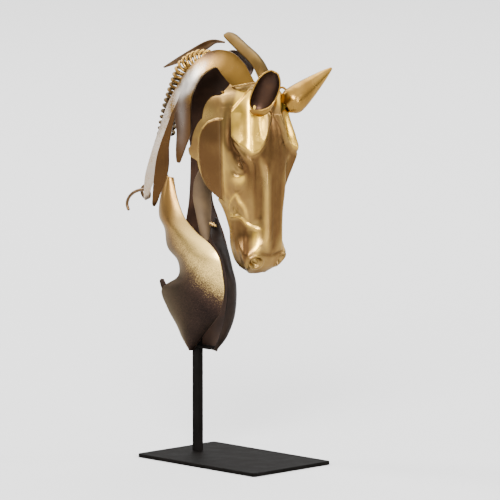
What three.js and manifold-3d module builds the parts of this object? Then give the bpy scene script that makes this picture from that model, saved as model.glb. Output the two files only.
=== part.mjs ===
// Sheet-metal horse head on a flat base plate. Millimetres, +Z up.
// Origin: centre of the base plate's underside. +X: the way the horse faces. +Y: the horse's left.
import * as THREE from 'three';
import Module from 'manifold-3d';

const wasm = await Module();
wasm.setup();

// Driving dimensions.
const HEIGHT = 400;
const BASE_LENGTH = 156;
const BASE_WIDTH = 100;
const BASE_THICKNESS = 3.5;
const BASE_CORNER = 3;
const BASE_CHAMFER = 0.5;
const POST_WIDTH = 8;
const POST_DEPTH = 6;
const SHEET = 1.6;
const HEAD_WALL = 2.4;
const WIRE = 3;
const COIL_RADIUS = 7.2;
const COILS = 20;
const WIRE_SIDES = 5;
const COIL_STEPS = 8;
const WELD_GAP = 0.3;
const MANE_GAP = 1.3;

// The free forms were laid out for a work 400 mm tall, so every place in them is scaled by this.
const LAYOUT_HEIGHT = 400;
const K = HEIGHT / LAYOUT_HEIGHT;

// The mane sheets stand clear of the coil that runs between them.
const MANE_SIDE = COIL_RADIUS + WIRE / 2 + MANE_GAP + SHEET / 2;

const GOLD = { color: 0xc09a58, roughness: 0.35, metalness: 0.85 };
const PALE_GOLD = { color: 0xd8c48c, roughness: 0.3, metalness: 0.85 };
const BROWN = { color: 0x5d4630, roughness: 0.45, metalness: 0.8 };
const DARK = { color: 0x33261f, roughness: 0.5, metalness: 0.7 };
const BLACK = { color: 0x17140f, roughness: 0.45, metalness: 0.4 };

const group = new THREE.Group();
group.name = 'horse_head_sculpture';

function addPiece(name, geometry, look) {
  const material = new THREE.MeshStandardMaterial(look);
  const mesh = new THREE.Mesh(geometry, material);
  mesh.name = name;
  group.add(mesh);
}

// A smooth line through a few [x, y, z] places of the layout.
function railThrough(places) {
  const points = places.map(([x, y, z]) => new THREE.Vector3(x * K, y * K, z * K));
  return new THREE.CatmullRomCurve3(points, false, 'catmullrom', 0.5);
}

// Smooth curve through the numbers of a short row; its value at a share from 0 to 1.
function valueAlong(row, share) {
  const points = row.map((value) => new THREE.Vector3(value, 0, 0));
  const curve = new THREE.CatmullRomCurve3(points, false, 'catmullrom', 0.5);
  return curve.getPoint(THREE.MathUtils.clamp(share, 0, 1)).x;
}

// Joins two grids of points, front and back of a sheet, into one closed solid.
function closedSheet(front, back) {
  const rows = front.length;
  const columns = front[0].length;
  const places = [];
  for (const layer of [front, back]) {
    for (const row of layer) {
      for (const point of row) {
        places.push(point.x, point.y, point.z);
      }
    }
  }
  const at = (layer, i, j) => layer * rows * columns + i * columns + j;
  const faces = [];
  const quad = (a, b, c, d) => faces.push(a, b, c, a, c, d);
  for (let i = 0; i < rows - 1; i += 1) {
    for (let j = 0; j < columns - 1; j += 1) {
      quad(at(0, i, j), at(0, i, j + 1), at(0, i + 1, j + 1), at(0, i + 1, j));
      quad(at(1, i, j), at(1, i + 1, j), at(1, i + 1, j + 1), at(1, i, j + 1));
    }
    quad(at(0, i, 0), at(0, i + 1, 0), at(1, i + 1, 0), at(1, i, 0));
    const last = columns - 1;
    quad(at(0, i, last), at(1, i, last), at(1, i + 1, last), at(0, i + 1, last));
  }
  for (let j = 0; j < columns - 1; j += 1) {
    quad(at(0, 0, j), at(1, 0, j), at(1, 0, j + 1), at(0, 0, j + 1));
    const end = rows - 1;
    quad(at(0, end, j), at(0, end, j + 1), at(1, end, j + 1), at(1, end, j));
  }
  const geometry = new THREE.BufferGeometry();
  geometry.setAttribute('position', new THREE.Float32BufferAttribute(places, 3));
  geometry.setIndex(faces);
  return outward(geometry);
}

// Turns a closed mesh the right way out, by the sign of its volume.
function outward(geometry) {
  const position = geometry.getAttribute('position');
  const index = geometry.getIndex().array;
  const [a, b, c] = [new THREE.Vector3(), new THREE.Vector3(), new THREE.Vector3()];
  let volume = 0;
  for (let i = 0; i < index.length; i += 3) {
    a.fromBufferAttribute(position, index[i]);
    b.fromBufferAttribute(position, index[i + 1]);
    c.fromBufferAttribute(position, index[i + 2]);
    volume += a.dot(b.cross(c));
  }
  if (volume < 0) {
    for (let i = 0; i < index.length; i += 3) {
      const swap = index[i];
      index[i] = index[i + 1];
      index[i + 1] = swap;
    }
  }
  geometry.computeVertexNormals();
  return geometry;
}

// Grid of points from a surface function of two shares, s across and t along.
function gridOf(surface, across, along) {
  const grid = [];
  for (let i = 0; i <= along; i += 1) {
    const row = [];
    for (let j = 0; j <= across; j += 1) {
      row.push(surface(j / across, i / along));
    }
    grid.push(row);
  }
  return grid;
}

// Unit normals of a grid, from its neighbours on both sides.
function normalsOf(grid) {
  const rows = grid.length;
  const columns = grid[0].length;
  return grid.map((row, i) => row.map((_, j) => {
    const up = grid[Math.min(i + 1, rows - 1)][j].clone().sub(grid[Math.max(i - 1, 0)][j]);
    const side = row[Math.min(j + 1, columns - 1)].clone().sub(row[Math.max(j - 1, 0)]);
    return side.cross(up).normalize();
  }));
}

// A bent sheet: the middle surface thickened to both sides by half its thickness.
function bentSheet(surface, across, along, thickness) {
  const grid = gridOf(surface, across, along);
  const normals = normalsOf(grid);
  const offset = (side) => grid.map((row, i) => row.map((point, j) => {
    return point.clone().addScaledVector(normals[i][j], side * thickness / 2);
  }));
  return closedSheet(offset(1), offset(-1));
}

// Middle surface between two rails, swollen towards `bulge` at mid width.
// The swell dies down towards both ends, to SWELL_END of half a wave.
const SWELL_END = 0.12;

function betweenRails(railA, railB, bulge) {
  return (s, t) => {
    const point = railA.getPoint(t).lerp(railB.getPoint(t), s);
    const wave = Math.sin(Math.PI * THREE.MathUtils.lerp(SWELL_END, 1 - SWELL_END, t));
    return point.addScaledVector(bulge, 4 * s * (1 - s) * wave);
  };
}

function toManifold(geometry) {
  const position = geometry.getAttribute('position').array;
  const corners = geometry.getIndex();
  const index = corners ? corners.array : Array.from({ length: position.length / 3 }, (_, i) => i);
  const mesh = new wasm.Mesh({
    numProp: 3,
    vertProperties: new Float32Array(position),
    triVerts: new Uint32Array(index),
  });
  mesh.merge();
  return new wasm.Manifold(mesh);
}

function fromManifold(solid) {
  const mesh = solid.getMesh();
  const places = new Float32Array(mesh.numVert * 3);
  for (let i = 0; i < mesh.numVert; i += 1) {
    for (let k = 0; k < 3; k += 1) {
      places[3 * i + k] = mesh.vertProperties[i * mesh.numProp + k];
    }
  }
  const geometry = new THREE.BufferGeometry();
  geometry.setAttribute('position', new THREE.BufferAttribute(places, 3));
  geometry.setIndex(Array.from(mesh.triVerts));
  geometry.computeVertexNormals();
  return geometry;
}

function welded(geometries) {
  return fromManifold(geometries.map(toManifold).reduce((whole, part) => whole.add(part)));
}

// Base plate, with small round corners and a fine chamfer.
function basePlate() {
  const cornerX = BASE_LENGTH / 2 - BASE_CHAMFER - BASE_CORNER;
  const cornerY = BASE_WIDTH / 2 - BASE_CHAMFER - BASE_CORNER;
  const quarter = Math.PI / 2;
  const shape = new THREE.Shape();
  const corners = [[cornerX, cornerY], [-cornerX, cornerY], [-cornerX, -cornerY], [cornerX, -cornerY]];
  corners.forEach(([x, y], i) => shape.absarc(x, y, BASE_CORNER, i * quarter, (i + 1) * quarter));
  const geometry = new THREE.ExtrudeGeometry(shape, {
    depth: BASE_THICKNESS - 2 * BASE_CHAMFER,
    curveSegments: 3,
    bevelEnabled: true,
    bevelThickness: BASE_CHAMFER,
    bevelSize: BASE_CHAMFER,
    bevelSegments: 1,
  });
  geometry.translate(0, 0, BASE_CHAMFER);
  return geometry;
}

// Post and the small floor plate of the neck on top of it; the tab stands on the plate.
const POST_X = -48 * K;
const FLOOR_LENGTH = 30.8 * K;
const FLOOR_WIDTH = 12.2 * K;
const FLOOR_TOP = 103.6 * K;
const FLOOR_Y = 1.4 * K;
const FLOOR_FORWARD = 4.9 * K;
const TAB_HEIGHT = 10 * K;

function post() {
  const bottom = BASE_THICKNESS + WELD_GAP;
  const top = FLOOR_TOP - SHEET - WELD_GAP;
  const geometry = new THREE.BoxGeometry(POST_WIDTH, POST_DEPTH, top - bottom);
  geometry.translate(POST_X, 0, (top + bottom) / 2);
  return geometry;
}

function neckFloor() {
  const plate = new THREE.BoxGeometry(FLOOR_LENGTH, FLOOR_WIDTH, SHEET);
  plate.translate(POST_X + FLOOR_FORWARD, FLOOR_Y, FLOOR_TOP - SHEET / 2);
  const tab = new THREE.BoxGeometry(POST_WIDTH, SHEET, TAB_HEIGHT);
  tab.translate(POST_X, FLOOR_Y, FLOOR_TOP + TAB_HEIGHT / 2 - SHEET / 2);
  return welded([plate, tab]);
}

// Near side of the neck. Its rails give x and z; y comes from how the sheet leans.
const NEAR_EDGE_Y = [-5, -11, -15, -17, -18.5, -17, -13];
const NEAR_FOOT = 99;
const NEAR_HEAD = 263;
const NEAR_BULGE = new THREE.Vector3(2, -10, 0).multiplyScalar(K);
const BARB_SHEET = 0.9 * SHEET;

function leaning(row, foot, head, places) {
  return places.map(([x, z]) => [x, valueAlong(row, (z - foot) / (head - foot)), z]);
}

function nearNeckPlate() {
  const lean = (places) => leaning(NEAR_EDGE_Y, NEAR_FOOT, NEAR_HEAD, places);
  const rear = railThrough(lean([
    [-74, 263], [-80, 243], [-80.5, 225], [-72.5, 213], [-69, 196], [-56, 184],
    [-57, 169], [-80, 155], [-75, 138], [-65, 122], [-60, 110], [-52, 99],
  ]));
  const front = railThrough(lean([
    [-66, 261], [-58, 243], [-46, 225], [-29, 212.5], [-12, 203.5], [-1, 193],
    [2.5, 178], [3.5, 160], [-5, 139], [-25, 121], [-38, 109], [-48, 100],
  ]));
  const sheet = bentSheet(betweenRails(rear, front, NEAR_BULGE), 6, 22, SHEET);
  const barbRear = railThrough(lean([[-79, 149], [-80.8, 156], [-82.6, 162], [-80.6, 164.8]]));
  const barbFront = railThrough(lean([[-67, 152.5], [-72.5, 157], [-75.2, 161.5], [-77.2, 164.8]]));
  const flat = new THREE.Vector3();
  const barb = bentSheet(betweenRails(barbRear, barbFront, flat), 2, 6, BARB_SHEET);
  return welded([sheet, barb]);
}

// Far side of the neck, plainer, from the poll down to the foot of the neck.
const FAR_BULGE = new THREE.Vector3(0, 6, 0).multiplyScalar(K);

function farNeckPlate() {
  const side = MANE_SIDE / K;
  const rear = railThrough([
    [14, side, 371], [-8, side, 382], [-30, side + 1, 376], [-50, side + 2, 362],
    [-69, side + 4, 341], [-77, side + 5, 312], [-75, side + 6, 278], [-76, side + 5, 238],
    [-80, side + 3, 205], [-78, side + 1, 165], [-70, side - 1, 135], [-54, 9, 99.5],
  ]);
  const front = railThrough([
    [12, side, 361], [-8, 15, 352], [-20, 17, 345], [-34, 18, 333], [-40, 19, 318],
    [-43, 20, 298], [-47, 20, 270], [-50, 20, 242], [-41, 19.5, 222], [-31, 19, 204],
    [-18, 17, 170], [-18, 13, 135], [-31, 8.2, 98.5],
  ]);
  return bentSheet(betweenRails(rear, front, FAR_BULGE), 5, 22, SHEET);
}

// Crescent at the front of the neck, swollen forwards.
const CHEST_BULGE = new THREE.Vector3(3, 0, 0).multiplyScalar(K);

function chestPlate() {
  const near = railThrough([
    [-22, -4, 226], [-22, -9, 211], [-10, -10, 197], [-3, -9, 182], [0, -8, 165], [-5, -6, 140],
    [-15, -3, 118], [-27, 0, 101],
  ]);
  const far = railThrough([
    [-22, 0, 226], [-18, 4, 208], [-13, 5.5, 194], [-8.5, 6, 180], [-3, 6, 162], [-5, 6, 136],
    [-14, 4.5, 115], [-26, 2.5, 101],
  ]);
  return bentSheet(betweenRails(near, far, CHEST_BULGE), 4, 16, SHEET);
}

// Strip between neck and jaw; its top end is tucked into the head.
const THROAT_BULGE = new THREE.Vector3(2, -1.4, 0).multiplyScalar(K);

function throatPlate() {
  const near = railThrough([
    [-24, -12, 292], [-31, -14, 272], [-37, -15, 260], [-38.5, -15, 245], [-36.5, -14, 232],
    [-34, -13.3, 221], [-32, -12.5, 211], [-29, -11.5, 201],
  ]);
  const far = railThrough([
    [-18, 4, 290], [-22, 3, 272], [-27, 1.5, 258], [-29.5, 0, 245], [-29, -0.5, 236],
    [-28, -2, 227], [-26, -4.5, 216], [-25, -7, 206],
  ]);
  return bentSheet(betweenRails(near, far, THROAT_BULGE), 4, 12, SHEET);
}

// Three beads in a row where neck, throat and chest meet: a large one between two small ones.
const BEAD_RADIUS = 2.1 * K;
const SIDE_BEAD_RADIUS = 1.4 * K;
const BEAD_ROW = [[-20.8, -9.4, 221.4], [-18, -9, 220.6], [-15.2, -8.8, 219.8]];

function weldCluster() {
  const spheres = BEAD_ROW.map(([x, y, z], i) => {
    const sphere = new THREE.SphereGeometry(i === 1 ? BEAD_RADIUS : SIDE_BEAD_RADIUS, 8, 5);
    sphere.translate(x * K, y * K, z * K);
    return sphere;
  });
  return welded(spheres);
}

// Mane arch: one sheet that leans outwards from its outer rim, with three tapered locks.
const ARCH_CENTRE_X = -5;
const ARCH_CENTRE_Z = 325;
const ARCH_INNER_Y = -19;
const ARCH_REACH = [34, 62];

function crestLean(x, z) {
  const reach = Math.hypot(x - ARCH_CENTRE_X, Math.max(0, z - ARCH_CENTRE_Z));
  const share = THREE.MathUtils.smoothstep(reach, ARCH_REACH[0], ARCH_REACH[1]);
  return THREE.MathUtils.lerp(ARCH_INNER_Y, -MANE_SIDE / K, share);
}

// A sheet between two edges in side view. It can twist about its middle and step sideways
// from the arch, both in layout millimetres; the step is reached after STEP_SHARE of its length.
const STEP_SHARE = 0.35;

function crestSheet({ outer, inner, across, along, twist = 0, step = 0 }) {
  const flat = (places) => railThrough(places.map(([x, z]) => [x, 0, z]));
  const [railA, railB] = [flat(outer), flat(inner)];
  return bentSheet((s, t) => {
    const point = railA.getPoint(t).lerp(railB.getPoint(t), s);
    const turned = twist * Math.sin(Math.PI * t) * (s - 0.5);
    const aside = step * THREE.MathUtils.smoothstep(t, 0, STEP_SHARE);
    point.y = (crestLean(point.x / K, point.z / K) + turned + aside) * K;
    return point;
  }, across, along, SHEET);
}

function crestPlate() {
  const band = crestSheet({
    outer: [
      [41, 356], [33, 366], [24, 375], [6, 383.5], [-19, 381.5], [-49, 362], [-73, 334], [-85, 310],
    ],
    inner: [
      [18, 353], [12, 357], [4, 362.5], [-6, 368], [-22, 359.5], [-34, 343], [-36.5, 333], [-37, 320],
    ],
    across: 5,
    along: 20,
  });
  const rearLock = crestSheet({
    outer: [[-83, 315], [-96.5, 281], [-104.5, 258], [-106.5, 236]],
    inner: [[-73, 319], [-87, 286], [-93.5, 263], [-105.3, 236.5]],
    across: 2,
    along: 10,
    twist: 3,
    step: -0.9,
  });
  const middleLock = crestSheet({
    outer: [[-78, 316], [-88.5, 284], [-94, 260], [-97.8, 231]],
    inner: [[-64, 323], [-77.5, 290], [-80, 264], [-96.3, 231]],
    across: 2,
    along: 10,
    twist: 3,
    step: 1.2,
  });
  const frontLock = crestSheet({
    outer: [[-66, 326], [-61.5, 303], [-62.5, 288], [-62.5, 275]],
    inner: [[-36.4, 326], [-39.5, 303], [-49, 290], [-60.5, 275]],
    across: 3,
    along: 10,
    twist: 3,
  });
  return welded([band, rearLock, middleLock, frontLock]);
}

// The coil: a circle of COIL_RADIUS carried along a spine that follows the crest.
class CoilPath extends THREE.Curve {
  constructor() {
    super();
    this.spine = railThrough([
      [-31, 1, 373], [-47, 1, 372], [-65, 1, 363], [-75, 1, 345], [-86, 1, 320], [-92, 1, 296],
    ]);
  }

  getPoint(t, target = new THREE.Vector3()) {
    const tangent = this.spine.getTangentAt(t);
    const side = new THREE.Vector3(0, 1, 0);
    const up = new THREE.Vector3().crossVectors(tangent, side).normalize();
    const turn = 2 * Math.PI * COILS * t;
    target.copy(this.spine.getPointAt(t));
    target.addScaledVector(side, COIL_RADIUS * Math.cos(turn));
    return target.addScaledVector(up, COIL_RADIUS * Math.sin(turn));
  }
}

function wireAlong(path, steps) {
  const corners = Array.from({ length: WIRE_SIDES }, (_, i) => {
    const angle = 2 * Math.PI * i / WIRE_SIDES;
    return new THREE.Vector2(WIRE / 2 * Math.cos(angle), WIRE / 2 * Math.sin(angle));
  });
  return new THREE.ExtrudeGeometry(new THREE.Shape(corners), { steps, extrudePath: path });
}

function maneSpring() {
  return wireAlong(new CoilPath(), COILS * COIL_STEPS);
}

// Loose end of the wire, hanging behind the locks in two open loops.
function maneCurl() {
  const path = railThrough([
    [-91, 3, 285], [-101, 6, 269], [-112, 8, 257.5], [-122.5, 8, 249.5], [-131, 8, 244],
    [-131.5, 8, 238.5], [-126, 7, 234.8], [-118.5, 5, 237], [-118, 3, 242.5], [-126, 2, 243],
    [-136.5, 2, 239.5], [-143.5, 2, 234], [-146, 2, 227.5], [-143.5, 2, 221.5],
  ]);
  return wireAlong(path, 44);
}

// Thin leaf trailing behind the poll, on the far side of the coil.
const LEAF_SHEET = 0.8 * SHEET;
const LEAF_CLEARANCE = 1.2;
const LEAF_BULGE = new THREE.Vector3(0, 1, 0).multiplyScalar(K);

function maneSickle() {
  const side = MANE_SIDE / K + LEAF_CLEARANCE;
  const upper = railThrough([
    [-107, side, 359.5], [-89, side, 369], [-69, side, 379],
    [-50, side, 387.5], [-38, side, 390], [-24, side, 389],
  ]);
  const lower = railThrough([
    [-106, side + 1, 358.5], [-87, side + 2, 364.5], [-66, side + 2, 372.5],
    [-50, side + 2, 379.5], [-37, side + 1, 386], [-24, side, 387.5],
  ]);
  return bentSheet(betweenRails(upper, lower, LEAF_BULGE), 2, 16, LEAF_SHEET);
}

// Arched strip from the poll to the forehead.
const FORELOCK_WIDTH = 19;
const FORELOCK_BULGE = new THREE.Vector3(1, 0, 2.5).multiplyScalar(K);

function forelockPlate() {
  const half = FORELOCK_WIDTH / 2;
  const near = railThrough([
    [-8, -2.5, 397.5], [-2.5, -half, 396], [14, -half, 385],
    [32, -half, 374], [42, -half, 362], [46, -half + 2, 350],
  ]);
  const far = railThrough([
    [-9, 2.5, 398.5], [-6, half, 396], [8, half, 388],
    [25, half, 378], [36, half, 366], [43, half - 2, 352],
  ]);
  return bentSheet(betweenRails(near, far, FORELOCK_BULGE), 4, 12, SHEET);
}

// Ear rolled from sheet: its slices are arcs about a straight axis, open towards `open`.
// `left` and `right` give how far each arc runs from its back, `widths` its radius as a share
// of halfWidth, all as rows from base to tip.
function rolledEar({ base, tip, open, halfWidth, depth, left, right, widths }) {
  const axis = tip.clone().sub(base);
  const slip = open.dot(axis) / axis.lengthSq();
  const outwards = open.clone().addScaledVector(axis, -slip).normalize();
  const across = new THREE.Vector3().crossVectors(axis, outwards).normalize();
  return bentSheet((s, t) => {
    const angle = s * valueAlong(right, t) - (1 - s) * valueAlong(left, t);
    const width = halfWidth * valueAlong(widths, t);
    const point = base.clone().addScaledVector(axis, t);
    point.addScaledVector(across, width * Math.sin(angle));
    return point.addScaledVector(outwards, -width * depth * Math.cos(angle));
  }, 10, 8, SHEET);
}

function place(x, y, z) {
  return new THREE.Vector3(x * K, y * K, z * K);
}

function nearEar() {
  return rolledEar({
    base: place(50.1, -22.3, 327.9),
    tip: place(71.5, -18, 369),
    open: new THREE.Vector3(0.66, -0.75, 0.22),
    halfWidth: 11 * K,
    depth: 0.85,
    left: [1.2, 1.5, 1.5, 1.3],
    right: [4.6, 3.7, 3, 2.45, 2.05, 1.75, 1.6, 1.5, 1.5, 1.48, 1.45, 1.4, 1.3],
    widths: [0.5, 0.78, 0.91, 0.97, 1, 1.02, 1.03, 1.02, 1, 0.94, 0.83, 0.64, 0.36],
  });
}

function farEar() {
  return rolledEar({
    base: place(52.2, 15.5, 333.1),
    tip: place(66, 62, 367),
    open: new THREE.Vector3(0.62, 0.28, -0.73),
    halfWidth: 11.5 * K,
    depth: 1,
    left: [3, 2.9, 2.8, 2.75],
    right: [3, 2.9, 2.8, 2.75],
    widths: [0.45, 0.96, 0.98, 0.88, 0.75, 0.6, 0.44, 0.26, 0.05],
  });
}

// Head mask. Five rails run down one half of it, from poll to chin, as [x, y, z]: the front
// middle, the edge of the nose, the side, the cheek and the rear edge. The other half mirrors them.
const HEAD_RAILS = {
  front: [
    [5, 0, 357], [28, 0, 355], [45, 0, 347], [53, 0, 322], [56, 0, 303], [57, 0, 288],
    [56.5, 0, 264], [55.5, 0, 238], [54, 0, 216], [51, 0, 200], [46, 0, 188], [38, 0, 180.5],
  ],
  edge: [
    [7, 8, 356], [28, 9, 354], [44, 10, 346], [52, 10, 321], [55, 11, 302], [56, 12, 288],
    [56, 11, 264], [55, 8.5, 238], [54, 9, 216], [50, 12, 200], [44, 11, 187.5], [36, 6, 180],
  ],
  side: [
    [10, 15, 353], [26, 20, 348.5], [36, 23.5, 338], [42, 25, 319], [46, 30, 302], [49, 32.5, 288],
    [40.5, 26, 265], [35, 20, 240], [33, 19, 216], [42, 26, 199], [38, 20, 187], [31, 10, 180],
  ],
  cheek: [
    [10, 20, 349], [12, 24, 343.5], [15, 26, 334], [18, 27, 316], [18, 28, 299], [20, 27, 285],
    [18, 25, 264], [18, 20.5, 242], [20, 18, 219], [26, 20, 202], [26, 15, 189], [26, 9, 181.5],
  ],
  rear: [
    [7, 22.5, 345], [-9, 23, 342], [-19, 24, 331], [-24, 24, 317], [-34, 24.5, 301], [-38, 25, 287],
    [-24, 24, 264], [-1, 19, 246], [8.5, 15, 223], [10, 14, 205], [12, 11, 192], [16, 8, 184.5],
  ],
};
const HEAD_AXIS_X = 16;
const HEAD_AXIS_TOP = 334;
const HEAD_AXIS_FOOT = 192;
const HEAD_ACROSS = 34;
const HEAD_ALONG = 31;
const HEAD_SLANT_LEAST = 0.5;
const CUT_REACH = 50;

// Rear edge of the mask in side view: three scallops, then the round of the jaw disc.
function rearCut() {
  const shape = new THREE.Shape();
  shape.moveTo(4 * K, 370 * K);
  shape.lineTo(3 * K, 352 * K);
  shape.lineTo(9 * K, 344 * K);
  shape.quadraticCurveTo(-14 * K, 344 * K, -16 * K, 321 * K);
  shape.quadraticCurveTo(-29 * K, 313 * K, -30 * K, 295 * K);
  shape.lineTo(-34 * K, 292 * K);
  shape.quadraticCurveTo(-35 * K, 283 * K, -22 * K, 281.5 * K);
  shape.quadraticCurveTo(-19 * K, 262 * K, 2 * K, 249.5 * K);
  shape.lineTo(-6 * K, 240 * K);
  shape.lineTo(-60 * K, 240 * K);
  shape.lineTo(-60 * K, 370 * K);
  const depth = 2 * CUT_REACH * K;
  const geometry = new THREE.ExtrudeGeometry(shape, { depth, curveSegments: 5, bevelEnabled: false });
  geometry.rotateX(Math.PI / 2);
  geometry.translate(0, depth / 2, 0);
  return geometry;
}

// Relief is laid out as seen from halfway between front and side:
// `a` grows towards the nose, `b` upwards, both in millimetres of the layout.
const VIEW_A_PER_Y = -1.02;
const VIEW_B_PER_X = -0.094;
const VIEW_B_PER_Y = -0.092;

function bump(distance, width) {
  return Math.exp(-((distance / width) ** 2));
}

function ovalReach(a, b, centre, radii) {
  return Math.hypot((a - centre[0]) / radii[0], (b - centre[1]) / radii[1]);
}

function lineReach(a, b, line) {
  let best = Infinity;
  for (let i = 0; i < line.length - 1; i += 1) {
    const [ax, ay] = line[i];
    const [dx, dy] = [line[i + 1][0] - ax, line[i + 1][1] - ay];
    const share = THREE.MathUtils.clamp(((a - ax) * dx + (b - ay) * dy) / (dx * dx + dy * dy), 0, 1);
    best = Math.min(best, Math.hypot(a - ax - share * dx, b - ay - share * dy));
  }
  return best;
}

// The jaw disc is the rear half of an oval, straight at JAW_FRONT.
const JAW_DISC = { centre: [-12.5, 282.5], radii: [32.5, 37], rise: 1.7, inside: 0.92, outside: 1.06 };
const JAW_FRONT = -12.5;
const JAW_SOFT = 1.5;
const EYE = { centre: [10, 275], radii: [11, 8], rise: -2.6, width: 1 };
const BROW = { line: [[-1, 320], [-1, 301], [24, 285], [39, 291], [47, 318]], rise: 1.8, width: 4 };
const NOSTRIL = { centre: [29, 187], radii: [10, 5], rise: -3, width: 0.8 };
const JAW_GROOVE = { line: [[-6, 322], [-6, 300], [1, 286]], rise: -2, width: 4 };
const JAW_STRIP = { line: [[-12, 325], [-10, 285], [-9, 245]], rise: 1.6, width: 4 };
const NOSE_EDGE = { line: [[42, 284], [43.5, 240], [42, 198]], rise: 1.6, width: 4.5 };
const MUZZLE_RIDGE = { line: [[-3, 231], [12, 227], [22, 220], [38, 216]], rise: 1.6, width: 4 };
const MUZZLE_FOLD = { line: [[31, 214], [30, 194]], rise: 2, width: 7 };
const MOUTH = { line: [[19, 214], [16, 199], [15, 188]], rise: -1.5, width: 3.5 };
const OVALS = [EYE, NOSTRIL];
const LINES = [BROW, JAW_GROOVE, JAW_STRIP, NOSE_EDGE, MUZZLE_RIDGE, MUZZLE_FOLD, MOUTH];

function headRelief(point) {
  const side = Math.abs(point.y / K);
  const a = point.x / K + VIEW_A_PER_Y * side;
  const b = point.z / K + VIEW_B_PER_X * point.x / K + VIEW_B_PER_Y * side;
  const reach = ovalReach(a, b, JAW_DISC.centre, JAW_DISC.radii);
  const within = 1 - THREE.MathUtils.smoothstep(reach, JAW_DISC.inside, JAW_DISC.outside);
  const behind = 1 - THREE.MathUtils.smoothstep(a, JAW_FRONT - JAW_SOFT, JAW_FRONT + JAW_SOFT);
  let rise = JAW_DISC.rise * within * behind;
  for (const oval of OVALS) {
    rise += oval.rise * bump(ovalReach(a, b, oval.centre, oval.radii), oval.width);
  }
  for (const ridge of LINES) {
    rise += ridge.rise * bump(lineReach(a, b, ridge.line), ridge.width);
  }
  return rise * K;
}

function headSurface() {
  const rail = (key, side) => railThrough(HEAD_RAILS[key].map(([x, y, z]) => [x, y * side, z]));
  const rails = [
    rail('rear', -1), rail('cheek', -1), rail('side', -1), rail('edge', -1), rail('front', 1),
    rail('edge', 1), rail('side', 1), rail('cheek', 1), rail('rear', 1),
  ];
  return (s, t) => {
    const across = rails.map((line) => line.getPoint(t));
    return new THREE.CatmullRomCurve3(across, false, 'catmullrom', 0.5).getPoint(s);
  };
}

function headShell() {
  const grid = gridOf(headSurface(), HEAD_ACROSS, HEAD_ALONG);
  const normals = normalsOf(grid);
  const middle = Math.round(HEAD_ACROSS / 2);
  const outer = grid.map((row, i) => row.map((point, j) => {
    return point.clone().addScaledVector(normals[i][j], headRelief(point));
  }));
  // The inside is drawn in towards an axis up the middle of the head.
  const inner = outer.map((row, i) => row.map((point, j) => {
    const height = THREE.MathUtils.clamp(grid[i][middle].z, HEAD_AXIS_FOOT * K, HEAD_AXIS_TOP * K);
    const inwards = new THREE.Vector3(HEAD_AXIS_X * K, 0, height).sub(point).normalize();
    const slant = Math.max(HEAD_SLANT_LEAST, Math.abs(inwards.dot(normals[i][j])));
    return point.clone().addScaledVector(inwards, HEAD_WALL / slant);
  }));
  const mask = toManifold(closedSheet(outer, inner));
  return fromManifold(mask.subtract(toManifold(rearCut())));
}

addPiece('base_plate', basePlate(), BLACK);
addPiece('post', post(), BLACK);
addPiece('neck_floor', neckFloor(), DARK);
addPiece('near_neck_plate', nearNeckPlate(), BROWN);
addPiece('far_neck_plate', farNeckPlate(), DARK);
addPiece('chest_plate', chestPlate(), DARK);
addPiece('throat_plate', throatPlate(), BROWN);
addPiece('weld_cluster', weldCluster(), GOLD);
addPiece('crest_plate', crestPlate(), PALE_GOLD);
addPiece('mane_spring', maneSpring(), GOLD);
addPiece('mane_curl', maneCurl(), BROWN);
addPiece('mane_sickle', maneSickle(), BROWN);
addPiece('forelock_plate', forelockPlate(), GOLD);
addPiece('head_shell', headShell(), GOLD);
addPiece('ear_near', nearEar(), GOLD);
addPiece('ear_far', farEar(), GOLD);

export default group;
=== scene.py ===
# %% [markdown]
# # A sheet-metal horse head on a bar and a flat base
#
# The real work is cut and hammered from thin steel sheet, welded together, and sprayed gold over
# dark brown. We load its measured solids as a fixed frame and dress them: each sheet becomes a
# smooth bent surface with a rounded edge, and the head gets the relief of its muscles and bones.

# %% Load the frame
import math

import bmesh
import bpy
import numpy as np
from mathutils import Matrix, Vector


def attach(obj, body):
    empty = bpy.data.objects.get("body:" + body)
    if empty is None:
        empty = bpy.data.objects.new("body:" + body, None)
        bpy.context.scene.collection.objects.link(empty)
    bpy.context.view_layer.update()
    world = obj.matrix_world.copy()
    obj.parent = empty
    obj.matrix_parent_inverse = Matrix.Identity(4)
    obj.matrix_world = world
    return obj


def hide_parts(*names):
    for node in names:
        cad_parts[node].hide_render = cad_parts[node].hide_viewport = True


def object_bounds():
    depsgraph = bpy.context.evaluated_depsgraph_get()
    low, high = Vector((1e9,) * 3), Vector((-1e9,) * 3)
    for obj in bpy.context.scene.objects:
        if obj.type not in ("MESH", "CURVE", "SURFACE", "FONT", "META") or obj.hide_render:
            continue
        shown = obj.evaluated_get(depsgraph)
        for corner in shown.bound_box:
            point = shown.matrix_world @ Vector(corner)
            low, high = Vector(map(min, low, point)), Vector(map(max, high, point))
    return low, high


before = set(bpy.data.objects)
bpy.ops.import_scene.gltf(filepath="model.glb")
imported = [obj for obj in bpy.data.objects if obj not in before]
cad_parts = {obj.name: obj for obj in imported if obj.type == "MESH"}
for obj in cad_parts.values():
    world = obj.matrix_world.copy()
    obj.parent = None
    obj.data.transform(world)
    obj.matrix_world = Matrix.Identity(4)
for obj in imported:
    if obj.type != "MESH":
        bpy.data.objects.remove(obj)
cad_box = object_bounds()

# %% [markdown]
# ## One unit for every place
#
# The shapes were laid out in millimetres for a work 400 mm tall. If we measured the frame's real
# height and scaled every place by it, the whole scene would follow a larger or smaller cast.
# That is why all places below go through `MM`, the length of one layout millimetre in metres.

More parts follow.
